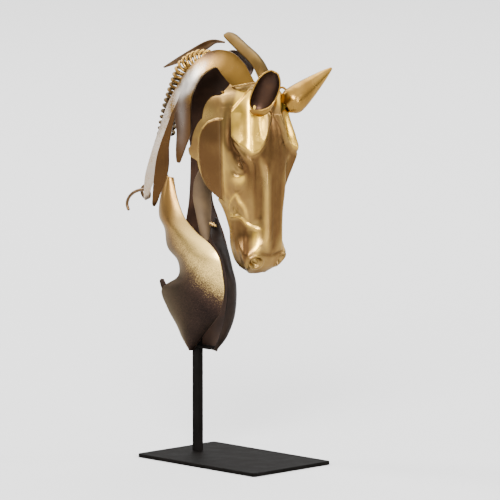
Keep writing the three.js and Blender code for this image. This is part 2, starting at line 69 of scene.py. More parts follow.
# %% Layout unit
LAYOUT_HEIGHT = 400.0
MM = float(cad_box[1][2]) / LAYOUT_HEIGHT
SHEET = 1.6
WIRE = 3.0
COIL_RADIUS = 7.2
COILS = 20
MANE_GAP = 1.3
MANE_SIDE = COIL_RADIUS + WIRE / 2 + MANE_GAP + SHEET / 2
print(f"one layout millimetre is {MM * 1000:.4f} mm")

# %% [markdown]
# ## Smooth lines through a few places
#
# A maker bends a sheet by eye between a few marks. A Catmull-Rom spline does the same: it passes
# through every mark and leaves each one in the direction of its neighbours. We evaluate it for
# whole arrays of shares at once, which numpy does faster than any loop.


# %% Spline helpers
def with_ends(marks):
    """Marks with one more at each end, mirrored through the end mark, so all have neighbours."""
    return np.concatenate([2 * marks[:1] - marks[1:2], marks, 2 * marks[-1:] - marks[-2:-1]])


def mark_before(share, count):
    """Number of the mark before each share of the line, and how far (0 to 1) the next one is."""
    place = np.clip(share, 0, 1) * (count - 1)
    low = np.minimum(place.astype(int), count - 2)
    return low, (place - low)[..., None]


def eased(a, b, c, d, u):
    """Point at u between b and c, whose outer neighbours are a and d.

    b + u (c - a) / 2 + u^2 (a - 5/2 b + 2 c - d / 2) + u^3 (3/2 (b - c) + (d - a) / 2).
    """
    bend = a - 2.5 * b + 2 * c - 0.5 * d
    twist = 1.5 * (b - c) + 0.5 * (d - a)
    return b + 0.5 * u * (c - a) + u**2 * bend + u**3 * twist


def spline(marks, share):
    """Point at `share` (0 to 1) on the spline through `marks`."""
    marks = np.asarray(marks, float)
    padded = with_ends(marks)
    low, u = mark_before(share, len(marks))
    return eased(*(padded[low + k] for k in range(4)), u)


def smoothstep(value, low, high):
    """Rises from 0 to 1 between `low` and `high` as 3 u^2 - 2 u^3."""
    u = np.clip((value - low) / (high - low), 0, 1)
    return u * u * (3 - 2 * u)


def row_value(row, share):
    """Value on the same spline through the numbers of a short row."""
    return spline(np.asarray(row, float)[:, None], share)[..., 0]


# %% [markdown]
# ## A sheet with a rounded edge
#
# Every plate here is a sheet whose edge was dressed round with a file. It could be a plane with
# Solidify and Bevel modifiers, but a formula gives cleaner edges: we take the middle surface,
# push it out to both sides along its normal, and let that push fall to nothing over the last half
# thickness, so the two faces meet in a half circle all the way round.


# %% Normals, faces and objects
def normals_of(points):
    """Unit normals of a grid: the cross product of its differences across and along."""
    across = np.gradient(points, axis=1)
    along = np.gradient(points, axis=0)
    normal = np.cross(across, along)
    return normal / (np.linalg.norm(normal, axis=-1, keepdims=True) + 1e-12)


def mesh_object(name, points, *face_groups):
    """Makes one mesh object at the origin from points (layout mm) and arrays of faces."""
    mesh = bpy.data.meshes.new(name)
    faces = [face for group in face_groups for face in group.tolist()]
    mesh.from_pydata((points * MM).tolist(), [], faces)
    mesh.shade_smooth()
    piece = bpy.data.objects.new(name, mesh)
    bpy.context.scene.collection.objects.link(piece)
    return piece


def grid_faces(index, flip=False):
    """Four-sided faces between the neighbours of an index grid."""
    corners = [index[:-1, :-1], index[:-1, 1:], index[1:, 1:], index[1:, :-1]]
    if flip:
        corners.reverse()
    return np.stack(corners, -1).reshape(-1, 4)


# %% Mesh from two layers
RIM_STEPS = 4


def two_layers(name, front, back):
    """Closes two grids of points that share their border into one skin; the back gets slot 1."""
    rows, columns = front.shape[:2]
    index = np.arange(rows * columns).reshape(rows, columns)
    inside = (slice(1, -1), slice(1, -1))
    under = index.copy()
    under[inside] = rows * columns + np.arange(index[inside].size).reshape(index[inside].shape)
    points = np.concatenate([front.reshape(-1, 3), back[inside].reshape(-1, 3)])
    piece = mesh_object(name, points, grid_faces(index), grid_faces(under, flip=True))
    slots = np.ones((rows - 1, columns - 1), np.int32)
    slots[:RIM_STEPS] = slots[-RIM_STEPS:] = 0
    slots[:, :RIM_STEPS] = slots[:, -RIM_STEPS:] = 0
    side = np.concatenate([np.zeros(slots.size, np.int32), slots.ravel()])
    piece.data.polygons.foreach_set("material_index", side)
    return piece


def paint(piece, key, values):
    """Stores one number per vertex as the attribute `key`, for the finishes to read."""
    attribute = piece.data.attributes.new(key, "FLOAT", "POINT")
    attribute.data.foreach_set("value", values.astype(np.float32))


# %% Sheet of even thickness
def rim_shares(count, lengths, rim):
    """Shares from 0 to 1 along each line of a grid, packed close at both ends for a round rim.

    The first and last RIM_STEPS shares lie at rim * (1 - cos angle) from the end, a quarter
    circle seen from above. Also returns the sine of that angle: the height of the quarter circle.
    """
    angles = np.linspace(0, math.pi / 2, RIM_STEPS + 1)
    edge = (1 - np.cos(angles))[None, :] * (rim / np.maximum(lengths, 4 * rim))[:, None]
    middle = np.linspace(0, 1, count + 1)[None, 1:-1]
    inner = edge[:, -1:] + (1 - 2 * edge[:, -1:]) * middle
    shares = np.concatenate([edge, inner, 1 - edge[:, ::-1]], axis=1)
    heights = np.concatenate([np.sin(angles), np.ones(count - 1), np.sin(angles[::-1])])
    return shares, heights


ROUGH_STEPS = 9


def bent_sheet(name, surface, across, along, thickness=SHEET, inside_faces=(0, 1, 0)):
    """Sheet of even thickness about the middle surface `surface(s, t)`, with round edges.

    Its back, which takes the inside finish, is the side that looks more along `inside_faces`.
    """
    steps = np.linspace(0, 1, ROUGH_STEPS)
    rough = surface(*np.meshgrid(steps, steps))
    widths = np.linalg.norm(np.diff(rough, axis=1), axis=-1).sum(1)
    length = np.linalg.norm(np.diff(rough, axis=0), axis=-1).sum(0).max()
    rim = thickness / 2
    t_shares, t_height = rim_shares(along, np.array([length]), rim)
    t = t_shares[0]
    row_widths = np.interp(t, steps, widths)
    s, s_height = rim_shares(across, row_widths, rim)
    t = np.broadcast_to(t[:, None], s.shape)
    points = surface(s, t)
    normal = normals_of(points)
    if normal[len(t) // 2, s.shape[1] // 2] @ np.asarray(inside_faces, float) > 0:
        points = points[:, ::-1]
        normal = normals_of(points)
    push = normal * (rim * t_height[:, None] * s_height[None, :])[..., None]
    return two_layers(name, points + push, points - push)


# %% [markdown]
# ## Surfaces between two edges
#
# Most plates are known by their two long edges. A ruled surface joins them with straight lines;
# hammering then swells the middle. Adding a swell of 4 s (1 - s) across the width, fading towards
# both ends, gives that shallow cushion without a single extra mark.


# %% Ruled and swollen surface
def between(edge_a, edge_b, bulge=(0, 0, 0)):
    """Surface from edge a (s = 0) to edge b (s = 1), pushed by `bulge` at mid width."""

    def surface(s, t):
        point = spline(edge_a, t) * (1 - s)[..., None] + spline(edge_b, t) * s[..., None]
        swell = 4 * s * (1 - s) * np.sin(math.pi * (0.12 + 0.76 * t))
        return point + swell[..., None] * np.asarray(bulge, float)

    return surface


def upright(marks, y):
    """Side-view marks (x, z) set at the side place y: one number, or one per mark."""
    marks = np.asarray(marks, float)
    return np.stack([marks[:, 0], np.broadcast_to(y, len(marks)), marks[:, 1]], -1)


# %% [markdown]
# ## Colour from hex
#
# Designers note colours as sRGB hex, but light adds up in linear values. One function turns the
# first into the second with the standard sRGB curve, so that every colour below stays readable.


# %% Colour
def linear(hex_code):
    """Linear RGBA of an sRGB hex code: c / 12.92 below 0.04045, else ((c + 0.055) / 1.055)^2.4."""
    channels = [int(hex_code[k:k + 2], 16) / 255 for k in (0, 2, 4)]
    curved = [c / 12.92 if c <= 0.04045 else ((c + 0.055) / 1.055) ** 2.4 for c in channels]
    return (*curved, 1.0)


# %% [markdown]
# ## Nodes in few words
#
# A finish is a small network of nodes. In the editor we would drag each one in and pull its
# wires; in a script one function adds any kind of node and feeds its inputs, and a few short
# ones name what we do with them again and again: noise of a given size, a mix, a range, a bump.


# %% Nodes
def feed(tree, node, inputs):
    """Sets or links a node's inputs, each by its name or number."""
    for key, value in inputs.items():
        socket = node.inputs[key]
        if isinstance(value, bpy.types.NodeSocket):
            tree.links.new(value, socket)
        else:
            socket.default_value = value
    return node


def add_node(tree, kind, inputs=None, **settings):
    """Adds a node, sets its properties, and feeds its inputs."""
    node = tree.nodes.new(kind)
    for key, value in settings.items():
        setattr(node, key, value)
    return feed(tree, node, inputs or {})


def new_material(name):
    """Empty node material with its Principled shader wired up; returns material, tree, shader."""
    material = bpy.data.materials.new(name)
    material.use_nodes = True
    tree = material.node_tree
    tree.nodes.clear()
    shader = add_node(tree, "ShaderNodeBsdfPrincipled")
    add_node(tree, "ShaderNodeOutputMaterial", {"Surface": shader.outputs["BSDF"]})
    return material, tree, shader


# %% Patterns and mixes
def per_metre(size_mm):
    """Noise scale whose features are about `size_mm` wide on Object coordinates in metres."""
    return 1 / (size_mm * MM)


def noise(tree, size_mm, detail=2.0, stretch=(1, 1, 1)):
    """Noise of a given feature size in layout millimetres, stretched along the axes."""
    where = add_node(tree, "ShaderNodeTexCoord").outputs["Object"]
    mapping = add_node(tree, "ShaderNodeMapping", {"Vector": where, "Scale": stretch})
    return add_node(tree, "ShaderNodeTexNoise", {
        "Vector": mapping.outputs["Vector"], "Scale": per_metre(size_mm), "Detail": detail,
    }).outputs["Fac"]


MIX_A, MIX_B, MIX_RESULT = 6, 7, 2


def mix_colours(tree, share, colour_a, colour_b):
    """Colour a where share is 0, b where it is 1; a mix node's colour sockets go by number."""
    inputs = {"Factor": share, MIX_A: colour_a, MIX_B: colour_b}
    return add_node(tree, "ShaderNodeMix", inputs, data_type="RGBA").outputs[MIX_RESULT]


def ranged(tree, value, low, high, to_low=0.0, to_high=1.0):
    """Maps low..high to to_low..to_high, held at both ends."""
    node = add_node(tree, "ShaderNodeMapRange", {
        "Value": value, "From Min": low, "From Max": high, "To Min": to_low, "To Max": to_high,
    })
    return node.outputs["Result"]


def bumped(tree, height, depth_mm, strength=0.5):
    """Bump normal from a height value, with its depth in layout millimetres."""
    inputs = {"Height": height, "Distance": depth_mm * MM, "Strength": strength}
    return add_node(tree, "ShaderNodeBump", inputs).outputs["Normal"]


def painted(tree, key):
    """Value of the attribute `key` that was painted on the mesh."""
    return add_node(tree, "ShaderNodeAttribute", attribute_name=key).outputs["Fac"]


def laid_on(tree, pattern, weight, base):
    """Pattern times its weight, laid on a base value."""
    inputs = {0: pattern, 1: weight, 2: base}
    return add_node(tree, "ShaderNodeMath", inputs, operation="MULTIPLY_ADD").outputs["Value"]


# %% [markdown]
# ## Gold coat over steel
#
# The coat is a satin gold lacquer: metallic, smooth enough for soft highlights, and thinner in
# the hollows, where the brown primer shows. The head's mesh carries two painted values: `relief`,
# how far a place was raised or sunk, and a second value for painted shade and painted highlight:
# brown painted where shade falls, pale gold painted where the light catches. The finish reads
# both. Image textures would do it too, but they need unwrapping and blur up close.


# %% Gold finishes
EDGE_TINT = "F0E4D0"
# Brown of the painted shade and pale gold of the painted highlight on the head.
PAINTED_SHADE_BROWN, PAINTED_HIGHLIGHT_GOLD = "4F371F", "D2A845"
CLOUD_MM = 22
MOTTLE_MM = 6
GRAIN_MM = 0.9


def gold_material(name, bright, shade, roughness, primer=None):
    """Satin gold: two golds mixed by a cloud, with a spray grain; a primer adds the painted values.

    Painted shade brown comes in as the painted shade and highlight value plus 0.4 of a mottle noise
    rises from 0.15 to 1.15, painted highlight gold as it falls from 0.2 to -0.75, primer in hollows
    1.2 to 4 mm deep.
    """
    material, tree, shader = new_material(name)
    cloud = noise(tree, CLOUD_MM)
    colour = mix_colours(tree, ranged(tree, cloud, 0.35, 0.65), linear(bright), linear(shade))
    if primer:
        # Painted shade and painted highlight from the head's painted value, broken up by a mottle
        # noise.
        mottle = noise(tree, MOTTLE_MM, detail=4, stretch=(1, 1, 0.6))
        amount = laid_on(tree, mottle, 0.4, painted(tree, "shade_and_highlight"))
        colour = mix_colours(tree, ranged(tree, amount, 0.15, 1.15), colour, linear(PAINTED_SHADE_BROWN))
        colour = mix_colours(tree, ranged(tree, amount, 0.2, -0.75), colour, linear(PAINTED_HIGHLIGHT_GOLD))
        depth = ranged(tree, painted(tree, "relief"), -1.2, -4.0, 0.0, 0.5)
        colour = mix_colours(tree, depth, colour, linear(primer))
    feed(tree, shader, {
        "Base Color": colour,
        "Roughness": ranged(tree, cloud, 0.3, 0.7, roughness - 0.05, roughness + 0.06),
        "Normal": bumped(tree, noise(tree, GRAIN_MM, detail=3), 0.05),
        "Metallic": 1.0,
        "Specular Tint": linear(EDGE_TINT),
    })
    return material


head_gold = gold_material("satin_gold_lacquer_head", "876D3D", "765A33", 0.32, primer="3A2614")
strip_gold = gold_material("satin_gold_lacquer_strip", "54401F", "443218", 0.36)
ear_gold = gold_material("satin_gold_lacquer_ear", "927035", "775828", 0.27)
wire_gold = gold_material("gold_lacquered_wire", "B3945A", "6B4F2B", 0.25)


# %% [markdown]
# ## Brown and black coats
#
# The inner and lower sheets are brown-black, slightly uneven; the base, the bar and the small
# floor under the neck are a matt black. The browns are thin paint over metal, so they are partly
# metallic. Matt black hardly mirrors anything: its specular level is set far below the usual 0.5,
# or the white studio would turn it grey.


# %% Dark finishes
def dark_material(name, tone, worn, roughness, metallic=0.0, specular=0.5):
    """Dark coat: two close tones in a 16 mm cloud, with a fine spray grain."""
    material, tree, shader = new_material(name)
    cloud = noise(tree, 16, detail=4)
    feed(tree, shader, {
        "Base Color": mix_colours(tree, ranged(tree, cloud, 0.4, 0.7), linear(tone), linear(worn)),
        "Roughness": ranged(tree, cloud, 0.3, 0.7, roughness - 0.06, roughness + 0.06),
        "Normal": bumped(tree, noise(tree, 0.8), 0.06, 0.6),
        "Metallic": metallic,
        "Specular IOR Level": specular,
    })
    return material


inner_brown = dark_material("brown_black_lacquer_inside", "2C1C13", "3A2619", 0.44, 0.85)
throat_brown = dark_material("brown_lacquer_throat", "42321F", "513F28", 0.6, 0.6)
chest_dark = dark_material("umber_lacquer_chest", "120D0A", "1E1611", 0.42, specular=0.06)
leaf_brown = dark_material("brown_lacquer_leaf", "46331F", "5A442B", 0.34, 0.9)
base_black = dark_material("matt_black_coat", "070605", "0D0B0A", 0.6, specular=0.015)


# %% [markdown]
# ## Gold fading to speckled black
#
# The lower neck was dusted with black from below. Dust falls as dots, so the edge of the fade is
# grainy, not smooth. We add a fine noise and a broad one to a slanted height: where the sum is
# small the coat stays gold, where it is large it is black, and in between lies a band of brown
# with dots of both. On the neck the gold is also painted lighter towards the front, as a painted
# highlight; on the coil the gold of the upper turns is a painted highlight.


# %% Faded finishes
REAR_MM, FORWARD_MM = -60, -16


def fading_material(name, tops, mid, foot, start_mm, end_mm, slant, speckle_mm, roughness=0.3):
    """Colour by height z + slant * x in layout mm: gold above start, foot below end, then dotted.

    The gold itself brightens from the first of `tops` at the rear to the second further forward, a
    painted highlight towards the front.
    """
    material, tree, shader = new_material(name)
    where = add_node(tree, "ShaderNodeTexCoord").outputs["Object"]
    axes = add_node(tree, "ShaderNodeSeparateXYZ", {"Vector": where}).outputs
    fall = ranged(tree, laid_on(tree, axes["X"], slant, axes["Z"]), start_mm * MM, end_mm * MM)
    dots = noise(tree, speckle_mm, detail=1)
    dusted = laid_on(tree, dots, 1.15, laid_on(tree, noise(tree, 14, detail=3), 0.25, fall))
    # Painted highlight: the gold is lighter towards the front.
    forward = ranged(tree, axes["X"], REAR_MM * MM, FORWARD_MM * MM)
    gold = mix_colours(tree, forward, linear(tops[0]), linear(tops[1]))
    brown = mix_colours(tree, ranged(tree, dusted, 0.8, 1.3), gold, linear(mid))
    feed(tree, shader, {
        "Base Color": mix_colours(tree, ranged(tree, dusted, 1.25, 1.8), brown, linear(foot)),
        "Roughness": ranged(tree, fall, 0.2, 0.9, roughness, 0.45),
        "Normal": bumped(tree, dots, 0.1),
        "Metallic": 0.95,
        "Specular Tint": linear(EDGE_TINT),
    })
    return material


# On the coil the gold upper turns are a painted highlight over the wire's dark brown-black.
coil_fade = fading_material(
    "dark_wire_with_painted_gold_glint", ("9A7738", "9A7738"), "4A3418", "17110C", 385, 325, 0.0, 0.8, 0.26)
# On the neck the rear-to-front lightening of the gold is a painted highlight.
neck_fade = fading_material(
    "gold_fading_to_speckled_black", ("7A5B30", "EFCB78"), "3E2E27", "151010", 190, 130, 0.75, 0.6)


# %% [markdown]
# ## Gold of the crest, with painted glare and shade
#
# The mane sheet is gold at the poll. A pale painted highlight lies over the arch, the rear lock is
# silvery, the crown is darkened as painted shade, and the other locks are brown lower down. The
# sheet carries two painted values for this, and a cloud and a grain break up their borders.


# %% Crest finish
def crest_material(name, gold, overlays, roughness=0.27):
    """Gold, with each overlay's tone laid over it where the sheet's painted value says so."""
    material, tree, shader = new_material(name)
    grain = noise(tree, 0.7)
    cloud = noise(tree, 9, detail=3)
    colour = linear(gold)
    for key, tone in overlays.items():
        amount = laid_on(tree, cloud, 0.4, laid_on(tree, grain, 0.9, painted(tree, key)))
        colour = mix_colours(tree, ranged(tree, amount, 0.85, 1.5), colour, linear(tone))
    feed(tree, shader, {
        "Base Color": colour,
        "Roughness": ranged(tree, cloud, 0.3, 0.7, roughness, roughness + 0.08),
        "Normal": bumped(tree, grain, 0.05),
        "Metallic": 1.0,
    })
    return material


# Silvery tone with a painted highlight, and a dark brown for painted shade and the lower locks.
crest_finish = crest_material(
    "gold_silver_lacquer_with_painted_glare", "7A5A26", {"silver_and_painted_glare": "E8E0D6", "painted_shade_and_brown": "46301B"})


# %% [markdown]
# ## Putting a piece into the frame
#
# Each new piece has to take its finishes, move with the work and take the place of its plain
# solid. Those steps always go together, so one function makes them.


# %% Register a piece
pieces = []


def settle(piece, material, nodes, inside=None):
    """Gives a piece its material, its inside material, body and replaced nodes."""
    piece.data.materials.append(material)
    piece.data.materials.append(inside or material)
    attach(piece, "root")
    if nodes:
        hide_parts(*nodes)
    pieces.append(piece)
    print(f"{piece.name}: {len(piece.data.polygons)} faces")


# %% [markdown]
# ## Base, bar and neck floor
#
# These are plain plates of exact size. Their solids are already right, so we keep them and only
# give them their coat. A thin bevel could be added, but the base's own chamfer already catches
# the light.

# %% Base finish
for node in ("base_plate", "post", "neck_floor"):
    coats = bpy.data.objects[node].data.materials
    coats.clear()
    coats.append(base_black)
print("base, bar and neck floor coated")

# %% [markdown]
# ## Near side of the neck
#
# This is the largest plate: a leaf with a waist, hammered outwards, and a barb left standing at
# its rear. Its two edges carry the outline. The barb is a second small leaf that grows out of the
# rear edge, which is simpler than bending the plate's grid round a notch.

# %% Near neck plate
NEAR_EDGE_Y = [-5, -11, -15, -17, -18.5, -17, -13]
NEAR_FOOT = 99
NEAR_HEAD = 263
NEAR_BULGE = (2, -10, 0)


def near_edge(marks):
    """Edge of the near plate from side-view marks; its y is read from a row by height."""
    heights = np.array(marks, float)[:, 1]
    return upright(marks, row_value(NEAR_EDGE_Y, (heights - NEAR_FOOT) / (NEAR_HEAD - NEAR_FOOT)))


near_rear = near_edge([
    [-74, 263], [-80, 243], [-80.5, 225], [-72.5, 213], [-69, 196], [-56, 184],
    [-57, 169], [-80, 155], [-75, 138], [-65, 122], [-60, 110], [-52, 99],
])
near_front = near_edge([
    [-66, 261], [-58, 243], [-46, 225], [-29, 212.5], [-12, 203.5], [-1, 193],
    [2.5, 178], [3.5, 160], [-5, 139], [-25, 121], [-38, 109], [-48, 100],
])
barb_rear = near_edge([[-79, 149], [-80.8, 156], [-82.6, 162], [-80.6, 164.8]])
barb_front = near_edge([[-67, 152.5], [-72.5, 157], [-75.2, 161.5], [-77.2, 164.8]])
near_plate = bent_sheet("near_neck_leaf", between(near_rear, near_front, NEAR_BULGE), 70, 200)
barb = bent_sheet("near_neck_barb", between(barb_rear, barb_front), 14, 30, SHEET * 0.9)
settle(near_plate, neck_fade, ["near_neck_plate"], inside=inner_brown)
settle(barb, neck_fade, ["near_neck_plate"])

# %% [markdown]
# ## Far side of the neck
#
# Seen through the arch and past the throat, the far sheet is a dark wall that closes the neck.
# It runs from the poll to the foot in one sweep, so one ruled surface between two long edges is
# enough.

# %% Far neck plate
far_rear = upright([
    [14, 371], [-8, 382], [-30, 376], [-50, 362], [-69, 341], [-77, 312], [-75, 278],
    [-76, 238], [-80, 205], [-78, 165], [-70, 135], [-54, 99.5],
], [*(MANE_SIDE + out for out in (0, 0, 1, 2, 4, 5, 6, 5, 3, 1, -1)), 9])
far_front = [
    [12, MANE_SIDE, 361], [-8, 15, 352], [-20, 17, 345], [-34, 18, 333], [-40, 19, 318],
    [-43, 20, 298], [-47, 20, 270], [-50, 20, 242], [-41, 19.5, 222], [-31, 19, 204],
    [-18, 17, 170], [-18, 13, 135], [-31, 8.2, 98.5],
]
far_plate = bent_sheet("far_neck_leaf", between(far_rear, far_front, (0, 6, 0)), 40, 180)
settle(far_plate, inner_brown, ["far_neck_plate"])

# %% [markdown]
# ## Chest crescent and throat strip
#
# Between the two neck sheets stand a dark crescent, which closes the chest, and a brown strip,
# which closes the throat and runs up into the head. Both are narrow, so their swell is small.

# %% Chest and throat
chest_near = [
    [-22, -4, 226], [-22, -9, 211], [-10, -10, 197], [-3, -9, 182], [0, -8, 165], [-5, -6, 140],
    [-15, -3, 118], [-27, 0, 101],
]
chest_far = [
    [-22, 0, 226], [-18, 4, 208], [-13, 5.5, 194], [-8.5, 6, 180], [-3, 6, 162], [-5, 6, 136],
    [-14, 4.5, 115], [-26, 2.5, 101],
]
throat_near = [
    [-24, -12, 292], [-31, -14, 272], [-37, -15, 260], [-38.5, -15, 245], [-36.5, -14, 232],
    [-34, -13.3, 221], [-32, -12.5, 211], [-29, -11.5, 201],
]
throat_far = [
    [-18, 4, 290], [-22, 3, 272], [-27, 1.5, 258], [-29.5, 0, 245], [-29, -0.5, 236],
    [-28, -2, 227], [-26, -4.5, 216], [-25, -7, 206],
]
chest = bent_sheet("chest_crescent", between(chest_near, chest_far, (3, 0, 0)), 24, 120)
throat = bent_sheet("throat_strip", between(throat_near, throat_far, (2, -1.4, 0)), 24, 80)
settle(chest, chest_dark, ["chest_plate"])
settle(throat, throat_brown, ["throat_plate"])

# %% [markdown]
# ## Mane arch and its locks
#
# One curved sheet springs from the poll and ends in three tapered locks. It was slit from its
# rear end, so each lock goes on inside the arch as a strip, and the three strips share their
# long borders there. y depends only on where a point lies in side view, leaning outwards near
# the inner rim; the free locks also step back and twist a little, so light falls differently
# on each.

# %% Mane surface
ARCH_CENTRE = (-5, 325)
ARCH_INNER_Y = -19
ARCH_REACH = (34, 62)


def crest_lean(x, z):
    """Side place y of the mane sheet: -19 mm near the inner rim, easing to the coil's side."""
    reach = np.hypot(x - ARCH_CENTRE[0], np.maximum(0, z - ARCH_CENTRE[1]))
    share = smoothstep(reach, *ARCH_REACH)
    return ARCH_INNER_Y * (1 - share) - MANE_SIDE * share


# %% Edges of the arch and its slits
ARCH_OUTER = [
    [41, 356], [33, 366], [24, 375], [6, 383.5], [-19, 381.5], [-49, 362], [-73, 334], [-85, 310],
]
ARCH_INNER = [
    [18, 353], [12, 357], [4, 362.5], [-6, 368], [-22, 359.5], [-34, 343], [-36.5, 333], [-37, 320],
]
ARCH_MARKS = len(ARCH_OUTER)
LOCK_MARKS = 3
REAR_SPLIT = (0.3, (-73.5, 315))
FRONT_SPLIT = (0.6, (-66.5, 319))


def split_line(share, notch):
    """Line inside the arch at a share of its width, ending in the notch between two locks.

    Over the last marks the line is pulled to the notch; halfway there it is bent by 0.9 of the
    outer rim's own way to its end, so that it keeps running beside the rim.
    """
    outer, inner = np.array(ARCH_OUTER, float), np.array(ARCH_INNER, float)
    line = outer * (1 - share) + inner * share
    pull = smoothstep(np.arange(ARCH_MARKS), ARCH_MARKS - 4, ARCH_MARKS - 1)[:, None]
    beside = pull * (1 - pull) * (outer - outer[-1]) * 0.9
    return line * (1 - pull) + np.array(notch) * pull + beside


# %% Locks
rear_split = split_line(*REAR_SPLIT)
front_split = split_line(*FRONT_SPLIT)
LOCKS = {  # two long edges, step back, twist (mm at the edge), columns of the grid
    "rear": (
        np.concatenate([ARCH_OUTER, [[-96.5, 281], [-104.5, 258], [-106.5, 236]]]),
        np.concatenate([rear_split, [[-87.5, 286], [-93.5, 263], [-105.3, 236.5]]]),
        -0.9, 2, 12,
    ),
    "middle": (
        np.concatenate([rear_split, [[-88.5, 284], [-94, 260], [-97.8, 231]]]),
        np.concatenate([front_split, [[-77.5, 290], [-80, 264], [-96.3, 231]]]),
        1.2, 2, 12,
    ),
    "front": (
        np.concatenate([front_split, [[-61.5, 303], [-62.5, 288], [-62.5, 275]]]),
        np.concatenate([ARCH_INNER, [[-39.5, 303], [-49, 290], [-60.5, 275]]]),
        0, 2, 18,
    ),
}


# %% Lock strips
LOCK_ROWS = 300
TIP_SHARE = 0.014


def lock_strip(edge_a, edge_b, behind, twist, columns):
    """Grid of one strip: between its two lines in side view, laid on the mane's lean.

    Over the last 1.4 % of its length the strip narrows as a quarter circle, to a rounded tip.
    """
    share = np.linspace(0, 1, LOCK_ROWS)
    share, s = np.meshgrid(share, np.linspace(0, 1, columns), indexing="ij")
    nearing = np.clip((share - 1 + TIP_SHARE) / TIP_SHARE, 0, 0.9)
    s = 0.5 + (s - 0.5) * np.sqrt(1 - nearing ** 2)
    flat = spline(edge_a, share) * (1 - s)[..., None] + spline(edge_b, share) * s[..., None]
    station = share * (ARCH_MARKS + LOCK_MARKS - 1)
    free = smoothstep(station, ARCH_MARKS - 1.4, ARCH_MARKS + 0.4)
    y = crest_lean(flat[..., 0], flat[..., 1]) + free * (behind + twist * (s - 0.5) * 2)
    return np.stack([flat[..., 0], y, flat[..., 1]], -1)


# %% Mane sheet
WELD_STEP = 0.02
strips = [lock_strip(*values) for values in LOCKS.values()]
sizes = [strip.shape[0] * strip.shape[1] for strip in strips]
starts = np.cumsum([0, *sizes])
points = np.concatenate([strip.reshape(-1, 3) for strip in strips])
faces = np.concatenate([
    grid_faces(start + np.arange(size).reshape(strip.shape[:2]))
    for start, size, strip in zip(starts, sizes, strips)
])
cells = np.round(points / WELD_STEP).astype(int)
_, keep, where = np.unique(cells, axis=0, return_index=True, return_inverse=True)
points = points[keep]
mane = mesh_object("mane_sheet", points, where.reshape(-1)[faces])
print(f"mane sheet: {starts[-1] - len(keep)} points merged where strips meet")

# %% [markdown]
# ## Painted glare, silver and shade on the mane
#
# A painted highlight lies across the arch, strongest where it turns downwards: a long oval, tilted
# with the sheet. The rear lock is silvery too. Painted shade darkens the crown, and the lower parts
# of the locks are darker brown. Each is a soft formula in side view (x, z), stored on the vertices.

# %% Mane paint
x, z = points[:, 0], points[:, 2]
rear = keep < sizes[0]
# Painted highlight: a long oval of glare across the arch.
glare = np.exp(-np.hypot((x + 46 - 0.9 * (z - 348)) / 13, (z - 348) / 20) ** 2)
silver_and_painted_glare = np.maximum(glare, np.where(rear, 0.46 * smoothstep(-x, 62, 78), 0))
# Darker brown on the lower parts of the locks, and painted shade on the crown.
painted_shade_and_brown = np.where(rear, 0.32 * smoothstep(-z, -320, -262), 0.95 * smoothstep(-z, -350, -325))
painted_shade_and_brown += 0.9 * np.exp(-np.hypot((x + 22) / 18, (z - 382) / 12) ** 2)
paint(mane, "silver_and_painted_glare", silver_and_painted_glare)
paint(mane, "painted_shade_and_brown", painted_shade_and_brown)

# %% [markdown]
# ## Thickness of the mane
#
# The three strips are one open surface so far. Here the Solidify and Bevel modifiers serve well:
# the sheet is of even thickness, and its rim, with slits and tips, would be hard to close by
# formula. The bevel takes only sharp corners, so the bent faces stay as they are.

# %% Mane thickness
RIM_SHARE = 0.28
thicken = mane.modifiers.new("thickness", "SOLIDIFY")
thicken.thickness = SHEET * MM
thicken.offset = 0
round_rim = mane.modifiers.new("rim", "BEVEL")
round_rim.width = SHEET * RIM_SHARE * MM
round_rim.segments = 2
round_rim.limit_method = "ANGLE"
round_rim.angle_limit = math.radians(55)
settle(mane, crest_finish, ["crest_plate"])

# %% [markdown]
# ## Wire coil and loose curl
#
# A coil of wire stands in for the mane's crest. A curve object with a bevel would do, but a
# formula keeps the turns even: a circle is carried along the spine, and a smaller circle, the
# wire's section, is carried along that. Below the locks a loose end of wire makes one small loop
# and an open hook.


# %% Round wire
CLOSED_END = 0.0004


def tube(name, path, radius, sides=12):
    """Round wire along an array of points: rings square to it, drawn in to close both ends."""
    tangent = np.gradient(path, axis=0)
    tangent /= np.linalg.norm(tangent, axis=-1, keepdims=True)
    side = np.cross(tangent, [0.31, 0.93, 0.2])
    side /= np.linalg.norm(side, axis=-1, keepdims=True)
    up = np.cross(side, tangent)
    step = np.linalg.norm(np.diff(path, axis=0), axis=-1)
    run = np.concatenate([[0], np.cumsum(step)])
    radius = np.broadcast_to(radius, run.shape)
    to_end = np.minimum(run, run[-1] - run)
    taper = np.sqrt(np.clip(1 - np.clip(1 - to_end / radius, 0, 1) ** 2, CLOSED_END, 1))
    angle = np.linspace(0, 2 * math.pi, sides, endpoint=False)
    ring = np.cos(angle)[:, None] * side[:, None] + np.sin(angle)[:, None] * up[:, None]
    points = path[:, None] + (radius * taper)[:, None, None] * ring
    index = np.arange(len(path) * sides).reshape(len(path), sides)
    index = np.concatenate([index, index[:, :1]], axis=1)
    total = len(path) * sides
    start = np.stack([np.full(sides, total), index[0, :-1], index[0, 1:]], -1)
    finish = np.stack([np.full(sides, total + 1), index[-1, 1:], index[-1, :-1]], -1)
    points = np.concatenate([points.reshape(-1, 3), path[[0, -1]]])
    return mesh_object(name, points, grid_faces(index, flip=True), start, finish)


# %% Coil and curl
STEPS_PER_TURN = 28
CURL_STEPS = 240
LENGTH_SAMPLES = 2001
COIL_SPINE = upright(
    [[-31, 373], [-47, 372], [-65, 363], [-75, 345], [-86, 320], [-92, 296]], 1)


def even_shares(marks, count):
    """Shares at which the spline's length is divided evenly, by inverting its running length."""
    share = np.linspace(0, 1, LENGTH_SAMPLES)
    step = np.linalg.norm(np.diff(spline(marks, share), axis=0), axis=-1)
    run = np.concatenate([[0], np.cumsum(step)])
    return np.interp(np.linspace(0, run[-1], count), run, share)


